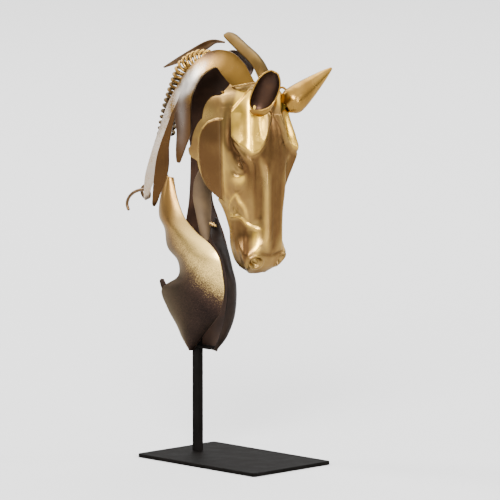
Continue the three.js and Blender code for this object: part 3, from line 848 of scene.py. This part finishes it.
coil_share = even_shares(COIL_SPINE, COILS * STEPS_PER_TURN + 1)
spine = spline(COIL_SPINE, coil_share)
spine_tangent = np.gradient(spine, axis=0)
spine_tangent /= np.linalg.norm(spine_tangent, axis=-1, keepdims=True)
side_axis = np.array([0.0, 1.0, 0.0])
up_axis = np.cross(spine_tangent, side_axis)
turn = np.linspace(0, 2 * math.pi * COILS, len(spine))[:, None]
coil_path = spine + COIL_RADIUS * (np.cos(turn) * side_axis + np.sin(turn) * up_axis)
coil = tube("mane_coil", coil_path, WIRE / 2)
CURL_MARKS = [
    [-91, 3, 285], [-101, 6, 269], [-112, 8, 257.5], [-122.5, 8, 249.5], [-131, 8, 244],
    [-131.5, 8, 238.5], [-126, 7, 234.8], [-118.5, 5, 237], [-118, 3, 242.5], [-126, 2, 243],
    [-136.5, 2, 239.5], [-143.5, 2, 234], [-146, 2, 227.5], [-143.5, 2, 221.5],
]
curl_path = spline(CURL_MARKS, even_shares(CURL_MARKS, CURL_STEPS))
curl = tube("mane_wire_curl", curl_path, WIRE / 2)
settle(coil, coil_fade, ["mane_spring"])
settle(curl, leaf_brown, ["mane_curl"])

# %% [markdown]
# ## Trailing leaf and forelock
#
# A thin leaf trails back from the poll, and an arched strip falls forward between the ears. They
# are cut from the same sheet as the rest. The leaf is thinner, and the strip is crowned.

# %% Leaf and forelock
SICKLE_SIDE = MANE_SIDE + 1.2
sickle_upper = upright(
    [[-107, 359.5], [-89, 369], [-69, 379], [-50, 387.5], [-38, 390], [-24, 389]], SICKLE_SIDE)
sickle_lower = upright(
    [[-106, 358.5], [-87, 364.5], [-66, 372.5], [-50, 379.5], [-37, 386], [-24, 387.5]],
    SICKLE_SIDE + np.array([1, 2, 2, 2, 1, 0]))
FORELOCK_HALF = 9.5
forelock_near = [
    [-8, -2.5, 397.5], [-2.5, -FORELOCK_HALF, 396], [14, -FORELOCK_HALF, 385],
    [32, -FORELOCK_HALF, 374], [42, -FORELOCK_HALF, 362], [46, -FORELOCK_HALF + 2, 350],
]
forelock_far = [
    [-9, 2.5, 398.5], [-6, FORELOCK_HALF, 396], [8, FORELOCK_HALF, 388],
    [25, FORELOCK_HALF, 378], [36, FORELOCK_HALF, 366], [43, FORELOCK_HALF - 2, 352],
]
leaf = between(sickle_upper, sickle_lower, (0, 1, 0))
strip = between(forelock_near, forelock_far, (1, 0, 2.5))
sickle = bent_sheet("mane_leaf", leaf, 14, 90, SHEET * 0.8)
forelock = bent_sheet("forelock_strip", strip, 24, 90)
settle(sickle, leaf_brown, ["mane_sickle"])
settle(forelock, strip_gold, ["forelock_plate"])


# %% [markdown]
# ## Ears rolled from sheet
#
# Each ear is a piece of sheet rolled about a straight axis, so its slices are arcs. On the near
# ear one edge wraps far round at the foot and opens towards the tip, which shows the hollow. On
# the far ear the arc is almost a full circle: a cone with a slit. One function makes both.


# %% Ears
def rolled_ear(base, tip, opening, half_width, depth, left, right, widths):
    """Surface whose slice at t is an arc about the axis, -left to +right radians off its back."""
    base, tip, opening = (np.asarray(v, float) for v in (base, tip, opening))
    axis = tip - base
    out = opening - axis * (opening @ axis) / (axis @ axis)
    out /= np.linalg.norm(out)
    across = np.cross(axis, out)
    across /= np.linalg.norm(across)

    def surface(s, t):
        angle = s * row_value(right, t) - (1 - s) * row_value(left, t)
        width = (half_width * row_value(widths, t))[..., None]
        point = base + axis * t[..., None]
        sine, cosine = np.sin(angle)[..., None], np.cos(angle)[..., None]
        return point + width * (across * sine - out * depth * cosine)

    return surface


near_ear = bent_sheet("right_ear_cup", rolled_ear(
    (51.5, -22, 330.5), (71.5, -18, 369), (0.66, -0.75, 0.22), 11, 0.85,
    [1.2, 1.5, 1.5, 1.3],
    [4.6, 3.7, 3.0, 2.45, 2.05, 1.75, 1.6, 1.5, 1.5, 1.48, 1.45, 1.4, 1.3],
    [0.5, 0.78, 0.91, 0.97, 1.0, 1.02, 1.03, 1.02, 1.0, 0.94, 0.83, 0.64, 0.36],
), 70, 80, inside_faces=(0.66, -0.75, 0.22))
far_ear = bent_sheet("left_ear_cone", rolled_ear(
    (52.2, 15.5, 333.1), (66, 62, 367), (0.62, 0.28, -0.73), 11.5, 1,
    [3.1, 3.0, 2.9, 2.8], [3.1, 3.0, 2.9, 2.8],
    [0.45, 0.96, 0.98, 0.88, 0.75, 0.6, 0.44, 0.26, 0.05],
), 70, 80, inside_faces=(0.75, 0.1, -0.6))
settle(near_ear, ear_gold, ["ear_near"], inside=inner_brown)
settle(far_ear, ear_gold, ["ear_far"], inside=inner_brown)


# %% [markdown]
# ## The head mask
#
# The head is one hammered mask, open at the back. Its broad form is a set of sections from poll to
# chin; each runs from the rear edge of one side, over cheek, side and nose edge, to the front and
# round again. Five places describe half a section, and the other half is its mirror.

# %% Head sections
SECTIONS = [
    [(5, 0, 357), (7, 8, 356), (10, 15, 353), (10, 20, 349), (7, 22.5, 345)],
    [(28, 0, 355), (28, 9, 354), (26, 20, 348.5), (12, 24, 343.5), (-9, 23, 342)],
    [(45, 0, 347), (44, 10, 346), (36, 23.5, 338), (15, 26, 334), (-19, 24, 331)],
    [(53, 0, 322), (52, 10, 321), (42, 25, 319), (18, 27, 316), (-24, 24, 317)],
    [(56, 0, 303), (55, 11, 302), (46, 30, 302), (18, 28, 299), (-34, 24.5, 301)],
    [(57, 0, 288), (56, 12, 288), (49, 32.5, 288), (20, 27, 285), (-38, 25, 287)],
    [(56.5, 0, 264), (56, 11, 264), (40.5, 26, 265), (18, 25, 264), (-24, 24, 264)],
    [(55.5, 0, 238), (55, 8.5, 238), (35, 20, 240), (18, 20.5, 242), (-1, 19, 246)],
    [(54, 0, 216), (54, 9, 216), (33, 19, 216), (20, 18, 219), (8.5, 15, 223)],
    [(51, 0, 200), (50, 12, 200), (42, 26, 199), (26, 20, 202), (10, 14, 205)],
    [(46, 0, 188), (44, 11, 187.5), (38, 20, 187), (26, 15, 189), (12, 11, 192)],
    [(38, 0, 180.5), (36, 6, 180), (31, 10, 180), (26, 9, 181.5), (16, 8, 184.5)],
]
half = np.array(SECTIONS, float).transpose(1, 0, 2)
MIRROR = np.array([1, -1, 1])
head_rails = np.concatenate([(half * MIRROR)[::-1], half[1:]])
print(f"{head_rails.shape[0]} rails through {head_rails.shape[1]} sections")


# %% Head surface
def section_points(s, t):
    """Point at share s across the section and t down the head: a spline across nine splines."""
    rails = np.stack([spline(rail, t) for rail in head_rails])
    padded = with_ends(rails)
    low, u = mark_before(s, len(rails))
    picks = [(low + k)[None, ..., None] for k in range(4)]
    return eased(*(np.take_along_axis(padded, pick, axis=0)[0] for pick in picks), u)


# %% [markdown]
# ## Scalloped rear edge
#
# The mask's rear edge was cut in scallops, one below the other, ending in the round of the jaw
# disc. In side view that is a chain of simple arcs. For every row of the grid we find the share at
# which the section crosses the chain, and let the grid begin and end there.


# %% Rear edge
def arc(start, control, end, count=24):
    """Quadratic curve (1-u)^2 start + 2u(1-u) control + u^2 end."""
    u = np.linspace(0, 1, count)[:, None]
    start, control, end = np.array([start, control, end])
    return (1 - u) ** 2 * start + 2 * u * (1 - u) * control + u**2 * end


rear_chain = np.concatenate([
    [[4.0, 370.0], [3.0, 352.0]],
    arc((9, 344), (-14, 344), (-16, 321)),
    arc((-16, 321), (-29, 313), (-30, 295)),
    arc((-34, 292), (-35, 283), (-22, 281.5)),
    arc((-22, 281.5), (-19, 262), (2, 249.5)),
    [[-6.0, 240.0], [-60.0, 239.0]],
])

# %% Where the grid begins in each row
chain_z = rear_chain[::-1, 1] + np.arange(len(rear_chain)) * 1e-6
chain_x = rear_chain[::-1, 0]
HEAD_ROWS = 232
FINE = 400
EDGE_REACH = 0.25
t_rows = np.linspace(0, 1, HEAD_ROWS)
s_fine, t_fine = np.meshgrid(np.linspace(0, EDGE_REACH, FINE), t_rows)
probe = section_points(s_fine, t_fine)
kept = probe[..., 0] >= np.interp(probe[..., 2], chain_z, chain_x)
last_cut = np.where(kept, 0, np.arange(FINE)[None, :]).max(1)
start_share = np.where(last_cut > 0, (last_cut + 0.5) / (FINE - 1) * EDGE_REACH, 0.0)
print(f"rear edge found on {int((start_share > 0).sum())} of {HEAD_ROWS} rows")

# %% [markdown]
# ## Relief of the head
#
# Muscles, bones, eye, nostril and mouth were raised and sunk with punches. We lay them out in the
# view from halfway between front and side: `a` grows towards the nose and `b` upwards. Every
# stroke is a soft line or an oval with a height, and their sum moves the surface along its normal.


# %% Places and strokes
def view_place(points):
    """Places (a, b) of surface points in the view from halfway between front and side."""
    forward, side, height = points[..., 0], np.abs(points[..., 1]), points[..., 2]
    return forward - 1.02 * side, height - 0.094 * forward - 0.092 * side


def stroke(a, b, marks, width, height):
    """Soft ridge along a spline: height * exp(-(distance / width)^2), fading at both ends."""
    share = np.linspace(0, 1, 60)
    line = spline(np.asarray(marks, float), share)
    flat_a, flat_b = a.ravel(), b.ravel()
    near = np.full(flat_a.shape, np.inf)
    where = np.zeros(flat_a.shape)
    for u, (line_a, line_b) in zip(share, line):
        away = (flat_a - line_a) ** 2 + (flat_b - line_b) ** 2
        closer = away < near
        near[closer] = away[closer]
        where[closer] = u
    fade = np.sin(math.pi * np.clip(where, 0.02, 0.98)) ** 0.5
    return (height * fade * np.exp(-near / width**2)).reshape(a.shape)


def strokes(a, b, rows):
    """Sum of the soft ridges of a table of (marks, width, height)."""
    return sum(stroke(a, b, *row) for row in rows)


# %% Ovals and raised areas
def oval(a, b, centre, radii, tilt=0.0):
    """Distance from the centre in units of the oval's radii; 1 on its rim."""
    cos, sin = math.cos(tilt), math.sin(tilt)
    da, db = a - centre[0], b - centre[1]
    return np.hypot((cos * da + sin * db) / radii[0], (cos * db - sin * da) / radii[1])


def plate(a, b, outline, height, soft):
    """Raised area: `height` inside a closed outline, falling to 0 over `soft` mm outside it."""
    corners = np.asarray(outline, float)
    after = np.roll(corners, -1, axis=0)
    flat_a, flat_b = a.ravel()[:, None], b.ravel()[:, None]
    run = after - corners
    da, db = flat_a - corners[:, 0], flat_b - corners[:, 1]
    run_a, run_b = run[:, 0], run[:, 1]
    share = np.clip((da * run_a + db * run_b) / (run**2).sum(1), 0, 1)
    away = np.hypot(da - share * run_a, db - share * run_b).min(1)
    level = (corners[:, 1] > flat_b) != (after[:, 1] > flat_b)
    cross_a = corners[:, 0] + db * run_a / np.where(run_b == 0, 1e-9, run_b)
    inside = (level & (flat_a < cross_a)).sum(1) % 2 == 1
    signed = np.where(inside, -away, away)
    return (height * (1 - smoothstep(signed, -soft / 2, soft / 2))).reshape(a.shape)


# %% Relief of the cheek and temple
JAW_CURVE = [
    (-12.5, 319), (-23, 319), (-33, 316), (-40.3, 309.7), (-43.9, 302.5), (-45.2, 291),
    (-44.2, 278.9), (-41, 267), (-35.2, 258), (-28.5, 251.8), (-20, 247), (-12.5, 245),
]


TEMPLE = [
    (-1.6, 326), (-1.4, 302), (9, 293.5), (23.5, 284.5), (33, 287.5), (40, 294), (45, 305),
    (49, 322), (24, 346),
]
CHEEK_STROKES = [
    (JAW_CURVE[1:-1], 1.3, 0.5),
    ([(-11, 332), (-10, 305), (-8.5, 282), (-8, 262), (-8, 240)], 5.0, 3.0),
    ([(-4.6, 328), (-4.8, 303), (-3, 294), (2, 287), (7, 282)], 2.8, -1.8),
    ([(22, 350), (20.5, 325), (20.5, 305), (21.5, 288)], 6.2, 1.6),
    ([(9, 325), (9, 308), (14, 297)], 5, -1.4),
    ([(33, 325), (34, 308), (34, 297)], 5.5, -1.6),
    ([(33, 282), (36, 268), (35, 245), (33, 225)], 5.5, -2.4),
    ([(52, 322), (54, 306), (58, 292)], 5, 0.2),
]


def cheek_relief(a, b):
    """Jaw disc with a rolled rim, the strip and groove in front of it, the raised temple panel."""
    jaw = plate(a, b, JAW_CURVE, 1.7, 1.8)
    return jaw + plate(a, b, TEMPLE, 3.4, 5.0) + strokes(a, b, CHEEK_STROKES)


# %% Relief of the eye
EYE_STROKES = [
    ([(-3, 290), (3, 284), (10, 277), (18, 270)], 5, -1.4),
    ([(2.3, 287.8), (6.8, 278.4), (14.1, 270.4)], 0.9, -1.2),
    ([(6.8, 285.5), (13, 277.5), (20, 270)], 1.0, -1.3),
    ([(4.5, 276.5), (8.5, 273), (14.5, 271.2), (18.6, 271.8)], 1.2, 0.7),
    ([(5, 281.5), (10, 277.5), (15.5, 274.6), (19, 273.4)], 1.1, 0.5),
    ([(-0.8, 271.8), (4.5, 267.9), (12.5, 268), (17.1, 270)], 1.3, -0.9),
    ([(0.5, 273.5), (5.5, 270.2), (11.5, 269.8), (15.5, 270.6)], 1.8, 0.3),
    ([(19.1, 282), (24.2, 278.6), (26.4, 272.5), (26.7, 258), (26.3, 242)], 2.0, 1.7),
    ([(20.2, 276), (21, 264), (21, 246)], 2.8, -1.5),
    ([(2, 252.5), (8, 251), (13.5, 255)], 1.6, 1.2),
]


def eye_relief(a, b):
    """Slanting orbit, almond of the eye with its lids, the bone in front of it, the cheek below."""
    rise = strokes(a, b, EYE_STROKES)
    rise += 2.0 * np.exp(-oval(a, b, (9.5, 263.5), (8.5, 4.6), -0.15) ** 2)
    rise += 1.5 * np.exp(-oval(a, b, (1, 255), (9, 12)) ** 2)
    return rise


# %% Relief of the nose and muzzle
MUSCLE = [
    (-5, 233), (-4.6, 239), (-1.5, 244), (4.5, 249), (8, 245), (12, 239.5), (17, 233), (19.4, 225),
    (8, 228.3), (-1, 228.8),
]
MUZZLE_STROKES = [
    ([(42.5, 270), (43.5, 256), (43.5, 240), (43, 218), (42, 196)], 4.2, 1.3),
    ([(52, 276), (51.5, 245), (51, 205)], 3.4, -1.2),
    ([(-5, 234), (-3, 242.5), (5, 249.3), (9, 243.2), (15.3, 236.3), (19.3, 226)], 1.3, 1.2),
    ([(3, 242), (5, 237), (8.5, 232)], 2.0, -1.2),
    ([(-3.5, 231.5), (-0.7, 228.9), (5.9, 229.5), (12.4, 226.9), (20.2, 220.7), (29, 217.7),
      (34, 217)], 1.3, 2.2),
    ([(1.5, 238), (3.2, 233.5), (4, 229.8)], 0.9, 1.2),
    ([(3, 225), (3, 205), (6.5, 190)], 2.6, 0.5),
    ([(9.3, 224), (9.6, 208), (11.3, 191)], 2.8, -0.6),
    ([(19, 214), (17, 199), (15.2, 188), (17.5, 180)], 2.8, -0.7),
    ([(31.5, 218), (31.5, 204), (31.5, 194)], 7.5, 1.3),
    ([(34, 194.8), (43, 193.4), (52, 192.6)], 1.5, -1.2),
]


def muzzle_relief(a, b):
    """Nose edges, cheek muscle loop, branching muzzle ridge, folds, nostril and mouth."""
    rise = plate(a, b, MUSCLE, 1.6, 2.8) + strokes(a, b, MUZZLE_STROKES)
    nostril = oval(a, b, (29, 186.3), (9.4, 5.4), 0.12)
    rise += 1.1 * np.exp(-((nostril - 1) / 0.15) ** 2)
    rise -= 3.2 * (1 - smoothstep(nostril, 0.45, 0.95))
    rise += 1.2 * (1 - smoothstep(oval(a, b, (30.5, 185.6), (4, 2.4)), 0.5, 1.1))
    return rise


def head_relief(points):
    """Sum of all strokes, the same on both sides of the head."""
    a, b = view_place(points)
    return cheek_relief(a, b) + eye_relief(a, b) + muzzle_relief(a, b)


# %% [markdown]
# ## Painted shade and highlight
#
# Over the gold, shade is painted in brown on the jaw disc, beside the temple, round the eye and
# down the nose, and highlight is painted in pale gold where the gold shines most. The same lines
# and ovals that made the relief now say how a place is painted, from -1 (painted highlight) to 1
# (painted shade).


# %% Painted shade and highlight pattern
# Painted shade (above 0) on the jaw disc, beside the temple, under the eye and down the nose;
# painted highlight (below 0) on the temple. The strokes add the eye band and the bright ridges.
SHADE_AND_HIGHLIGHT_AREAS = [
    (JAW_CURVE, 0.95, 3),
    ([(34, 286), (41, 295), (46, 312), (49, 330), (72, 330), (66, 300), (66, 262), (62, 200),
      (49, 196), (48, 266)], 0.85, 8),
    ([(24, 282), (34, 284), (40, 262), (38, 222), (27, 226), (26, 250)], 0.8, 6),
    ([(-4, 226), (8, 226), (18, 218), (15, 184), (2, 184)], 0.8, 4),
    ([(0, 330), (1, 304), (10, 295), (23, 286), (33, 289), (42, 305), (40, 340), (5, 345)],
     -0.9, 5),
]
SHADE_AND_HIGHLIGHT_STROKES = [
    (JAW_CURVE[1:-3], 1.1, -0.9),
    ([(-5, 326), (-5, 300), (2, 287), (10, 279), (19, 269), (21, 250)], 5.2, 1.5),
    ([(7, 285.5), (13, 277.5), (20, 270)], 1.0, 0.8),
    ([(2.3, 287.8), (6.8, 278.4), (14.1, 270.4)], 1.0, 0.8),
    ([(-0.8, 271.8), (4.5, 267.9), (12.5, 268), (17.1, 270)], 1.3, 0.9),
    ([(18, 214), (16.5, 199), (15, 186)], 2.8, 0.35),
    ([(20, 345), (20, 325), (20.5, 293)], 3.5, -0.6),
    ([(-10.5, 320), (-9.5, 290), (-8.5, 245)], 3, -0.4),
    ([(-3.5, 231.5), (12, 227), (20, 221), (38, 216.3)], 1.6, -0.8),
    ([(-5, 234), (-3, 242.5), (5, 249.3), (9, 243.2), (15.3, 236.3), (19.3, 226)], 1.5, -0.8),
    ([(30, 215), (30, 195)], 3.6, -1.6),
    ([(19, 216), (18, 200), (17, 188)], 4.0, 0.9),
    ([(34, 194), (44, 193.2), (58, 192.4)], 2.2, 0.8),
    ([(43, 262), (43, 215), (42, 198)], 3.4, -0.25),
]


def shade_and_highlight_pattern(a, b):
    """Painted shade and highlight at each place of the view, as a sum of soft areas, strokes and
    one oval.
    """
    shade_and_highlight = sum(plate(a, b, *area) for area in SHADE_AND_HIGHLIGHT_AREAS) + strokes(a, b, SHADE_AND_HIGHLIGHT_STROKES)
    # Painted shade over the lower muzzle, and a painted highlight on the cheek below the eye.
    shade_and_highlight += 1.3 * smoothstep(-b, -184, -175)
    shade_and_highlight -= 1.3 * np.exp(-oval(a, b, (10, 264), (7, 4.5)) ** 2)
    return np.clip(shade_and_highlight, -1, 1)


# %% [markdown]
# ## Building the mask
#
# The grid's columns are spread so that they are about a millimetre apart everywhere, closer at the
# rims. The outer face takes the relief. The inner face lies a wall's thickness under the lowest
# relief nearby, so that a deep groove never cuts through, and both meet in a round rim.

# %% Depth of the inner face
REACH_CELLS = 4


def lowest_nearby(values):
    """Lowest value within REACH_CELLS grid cells of each place."""
    span = 2 * REACH_CELLS + 1
    padded = np.pad(values, REACH_CELLS, mode="edge")
    rows, columns = values.shape
    across = np.min([padded[:, k:k + columns] for k in range(span)], axis=0)
    return np.min([across[k:k + rows] for k in range(span)], axis=0)


# %% Head grid
HEAD_COLUMNS = 196
HEAD_RIM = 0.006
COLUMN_SHARES = [0, 0.155, 0.27, 0.385, 0.5, 0.615, 0.73, 0.845, 1]
RAIL_SHARES = np.linspace(0, 1, len(COLUMN_SHARES))
column_shares, column_height = rim_shares(HEAD_COLUMNS, np.ones(1), HEAD_RIM)
row_shares, row_height = rim_shares(HEAD_ROWS, np.ones(1), HEAD_RIM)
column_share, row_share = column_shares[0], row_shares[0]
spread = np.interp(column_share, COLUMN_SHARES, RAIL_SHARES)
start = np.interp(row_share, t_rows, start_share)[:, None]
s_head = start + (1 - 2 * start) * spread[None, :]
t_head = np.broadcast_to(row_share[:, None], s_head.shape)

# %% Head mesh
HEAD_WALL = 2.4
HEAD_MIDDLE = (16, 0, 260)
LEAST_RELIEF = 0.2
skin = section_points(s_head, t_head)
skin_normal = normals_of(skin)
outward_side = np.sign((skin_normal * (skin - HEAD_MIDDLE)).sum(-1).mean())
skin_normal *= outward_side
relief = head_relief(skin)
# Painted shade and painted highlight of each place, stored on the mesh for the finish.
shade_and_highlight = shade_and_highlight_pattern(*view_place(skin))
soft_rim = row_height[:, None] * column_height
outer = skin + skin_normal * (relief * np.minimum(1, soft_rim + LEAST_RELIEF))[..., None]
deep = skin + skin_normal * (lowest_nearby(relief) - HEAD_WALL)[..., None]
inner = outer * (1 - soft_rim[..., None]) + deep * soft_rim[..., None]
if outward_side < 0:
    outer, inner, relief, shade_and_highlight = (grid[:, ::-1] for grid in (outer, inner, relief, shade_and_highlight))
head = two_layers("head_mask", outer, inner)
for key, grid in (("relief", relief), ("shade_and_highlight", shade_and_highlight)):
    paint(head, key, np.concatenate([grid.ravel(), grid[1:-1, 1:-1].ravel()]))
settle(head, head_gold, ["head_shell"], inside=inner_brown)

# %% [markdown]
# ## Weld beads
#
# Where the neck, throat and chest sheets meet, the welder left a few round beads. Each is a small
# ball, computed like any other surface; its seam and poles are merged afterwards.


# %% Weld beads
def ball_points(centre, radius, rings=20):
    """Ball as a grid: polar angle down, longitude round, centre + radius * direction."""
    down, around = np.linspace(0, math.pi, rings), np.linspace(0, 2 * math.pi, 2 * rings)
    polar, turned = np.meshgrid(down, around, indexing="ij")
    direction = [np.sin(polar) * np.cos(turned), np.sin(polar) * np.sin(turned), np.cos(polar)]
    return np.asarray(centre, float) + radius * np.stack(direction, -1)


def bead(name, centre, radius):
    """One weld bead as a closed ball, with its seam and poles merged."""
    grid = ball_points(centre, radius)
    index = np.arange(grid.shape[0] * grid.shape[1]).reshape(grid.shape[:2])
    piece = mesh_object(name, grid.reshape(-1, 3), grid_faces(index, flip=True))
    work = bmesh.new()
    work.from_mesh(piece.data)
    bmesh.ops.remove_doubles(work, verts=work.verts, dist=1e-6)
    bmesh.ops.recalc_face_normals(work, faces=work.faces)
    work.to_mesh(piece.data)
    work.free()
    piece.data.shade_smooth()
    return piece


BEADS = [((-18, -9, 220.6), 2.1), ((-20.8, -9.4, 221.4), 1.4), ((-15.2, -8.8, 219.8), 1.4)]
for number, (centre, radius) in enumerate(BEADS, start=1):
    settle(bead(f"weld_bead_{number}", centre, radius), wire_gold, ["weld_cluster"])

# %% [markdown]
# ## Weld seam on the poll
#
# The mane arch is welded onto the crown, and the seam was left uneven. We carry a small circle
# along the seam and let its radius wander with a few sines of unrelated pitch, which looks
# irregular yet needs no random numbers. A bent end of wire holds the far ear in the same way.

# %% Weld seams
SEAM_RADIUS = 1.0
SEAM_SWING = 0.22
EAR_WIRE_RADIUS = 1.1
SEAM_MARKS = [
    [15, -16.5, 352], [22, -19, 352.8], [30, -18.6, 354.5], [38, -15, 356.5], [42, -12.5, 356.5],
]
EAR_WIRE_MARKS = [[38, 19, 342], [40, 19.5, 349], [45, 20, 350.5], [52, 21, 346]]
share = np.linspace(0, 1, 90)
wander = np.sin(share * 41) * np.cos(share * 23 + 1) + 0.6 * np.sin(share * 87)
seam_radii = SEAM_RADIUS * (1 + SEAM_SWING * wander)
poll_seam = tube("poll_weld_seam", spline(SEAM_MARKS, share), seam_radii, sides=14)
ear_wire_path = spline(EAR_WIRE_MARKS, np.linspace(0, 1, 60))
ear_wire = tube("left_ear_wire", ear_wire_path, EAR_WIRE_RADIUS)
settle(poll_seam, head_gold, [])
settle(ear_wire, ear_gold, [])

# %% [markdown]
# ## Studio
#
# Lacquered sheet shows its surroundings, so the lights are large soft panels: their reflections
# are what we see as highlights. The world is dim at the horizon and bright overhead, so that
# upright sheet keeps its brown shades and only what looks upwards turns pale.

# %% Floor
FLOOR_HALF = 40.0
floor_material, floor_tree, floor_shader = new_material("matt_white_floor")
feed(floor_tree, floor_shader, {"Base Color": linear("B0B0B0"), "Roughness": 0.9})
floor_mesh = bpy.data.meshes.new("studio_floor")
quarters = ((-1, -1), (1, -1), (1, 1), (-1, 1))
floor_corners = [(FLOOR_HALF * x, FLOOR_HALF * y, 0) for x, y in quarters]
floor_mesh.from_pydata(floor_corners, [], [(0, 1, 2, 3)])
floor_mesh.materials.append(floor_material)
floor = bpy.data.objects.new("studio_floor", floor_mesh)
bpy.context.scene.collection.objects.link(floor)

# %% World
SIDE_LIGHT = 0.35
TOP_LIGHT = 3.0
world = bpy.data.worlds.new("studio_world")
bpy.context.scene.world = world
world.use_nodes = True
world_tree = world.node_tree
world_tree.nodes.clear()
where = add_node(world_tree, "ShaderNodeTexCoord").outputs["Generated"]
height = add_node(world_tree, "ShaderNodeSeparateXYZ", {"Vector": where}).outputs["Z"]
glow = ranged(world_tree, height, 0.1, 0.8, SIDE_LIGHT, TOP_LIGHT)
sky = add_node(world_tree, "ShaderNodeBackground", {"Color": (1, 1, 1, 1), "Strength": glow})
add_node(world_tree, "ShaderNodeOutputWorld", {"Surface": sky.outputs["Background"]})


# %% Light panels
def softbox(name, place, aim, size, power):
    """Rectangular area light at `place` (m), turned to face `aim`."""
    data = bpy.data.lights.new(name, "AREA")
    data.shape = "RECTANGLE"
    data.size, data.size_y = size
    data.energy = power
    lamp = bpy.data.objects.new(name, data)
    lamp.location = place
    lamp.rotation_euler = (Vector(aim) - Vector(place)).to_track_quat("-Z", "Y").to_euler()
    bpy.context.scene.collection.objects.link(lamp)


HEART = (0, 0, 0.25)
softbox("key_panel", (2.3, -2.9, 2.3), HEART, (1.8, 2.0), 520)
softbox("front_panel", (3.9, -0.6, 1.0), HEART, (0.5, 2.2), 110)
softbox("rear_rim", (-3.3, -1.4, 2.2), HEART, (0.8, 2.2), 190)
softbox("right_strip", (2.2, 3.0, 1.8), HEART, (0.6, 2.2), 110)
softbox("backdrop_panel", (-2.6, 2.6, 3.2), (-2.6, 2.6, 0), (5, 5), 420)

# %% [markdown]
# ## Camera
#
# The view is from halfway between the horse's front and its right side, a little above level, and
# through a long lens, which keeps upright edges upright. We turn the picture's scale into a
# distance and aim the camera at the middle of the frame.

# %% Camera
IMAGE_WIDTH_PX = 500
PX_PER_LAYOUT_MM = 1.0753
ORIGIN_PX = (233.6, 460.8)
AZIMUTH = math.radians(45.6)
ELEVATION = math.radians(7.5)
LENS_MM = 400
FAR_END = 50
camera_data = bpy.data.cameras.new("camera")
camera_data.lens = LENS_MM
camera_data.clip_end = FAR_END
right = Vector((math.cos(AZIMUTH), math.sin(AZIMUTH), 0))
back = Vector((
    math.sin(AZIMUTH) * math.cos(ELEVATION),
    -math.cos(AZIMUTH) * math.cos(ELEVATION),
    math.sin(ELEVATION),
))
up = back.cross(right)
px = MM / PX_PER_LAYOUT_MM
distance = camera_data.lens / camera_data.sensor_width * IMAGE_WIDTH_PX * px
middle_px = IMAGE_WIDTH_PX / 2
aim = right * (middle_px - ORIGIN_PX[0]) * px + up * (ORIGIN_PX[1] - middle_px) * px
camera = bpy.data.objects.new("camera", camera_data)
turned = Matrix((right, up, back)).transposed().to_4x4()
camera.matrix_world = Matrix.Translation(aim + back * distance) @ turned
bpy.context.scene.collection.objects.link(camera)
bpy.context.scene.camera = camera
print(f"camera {distance:.2f} m away")

# %% [markdown]
# ## Finish
#
# We print how many pieces were dressed.

# %% Close
print(f"{len(pieces)} pieces dressed")
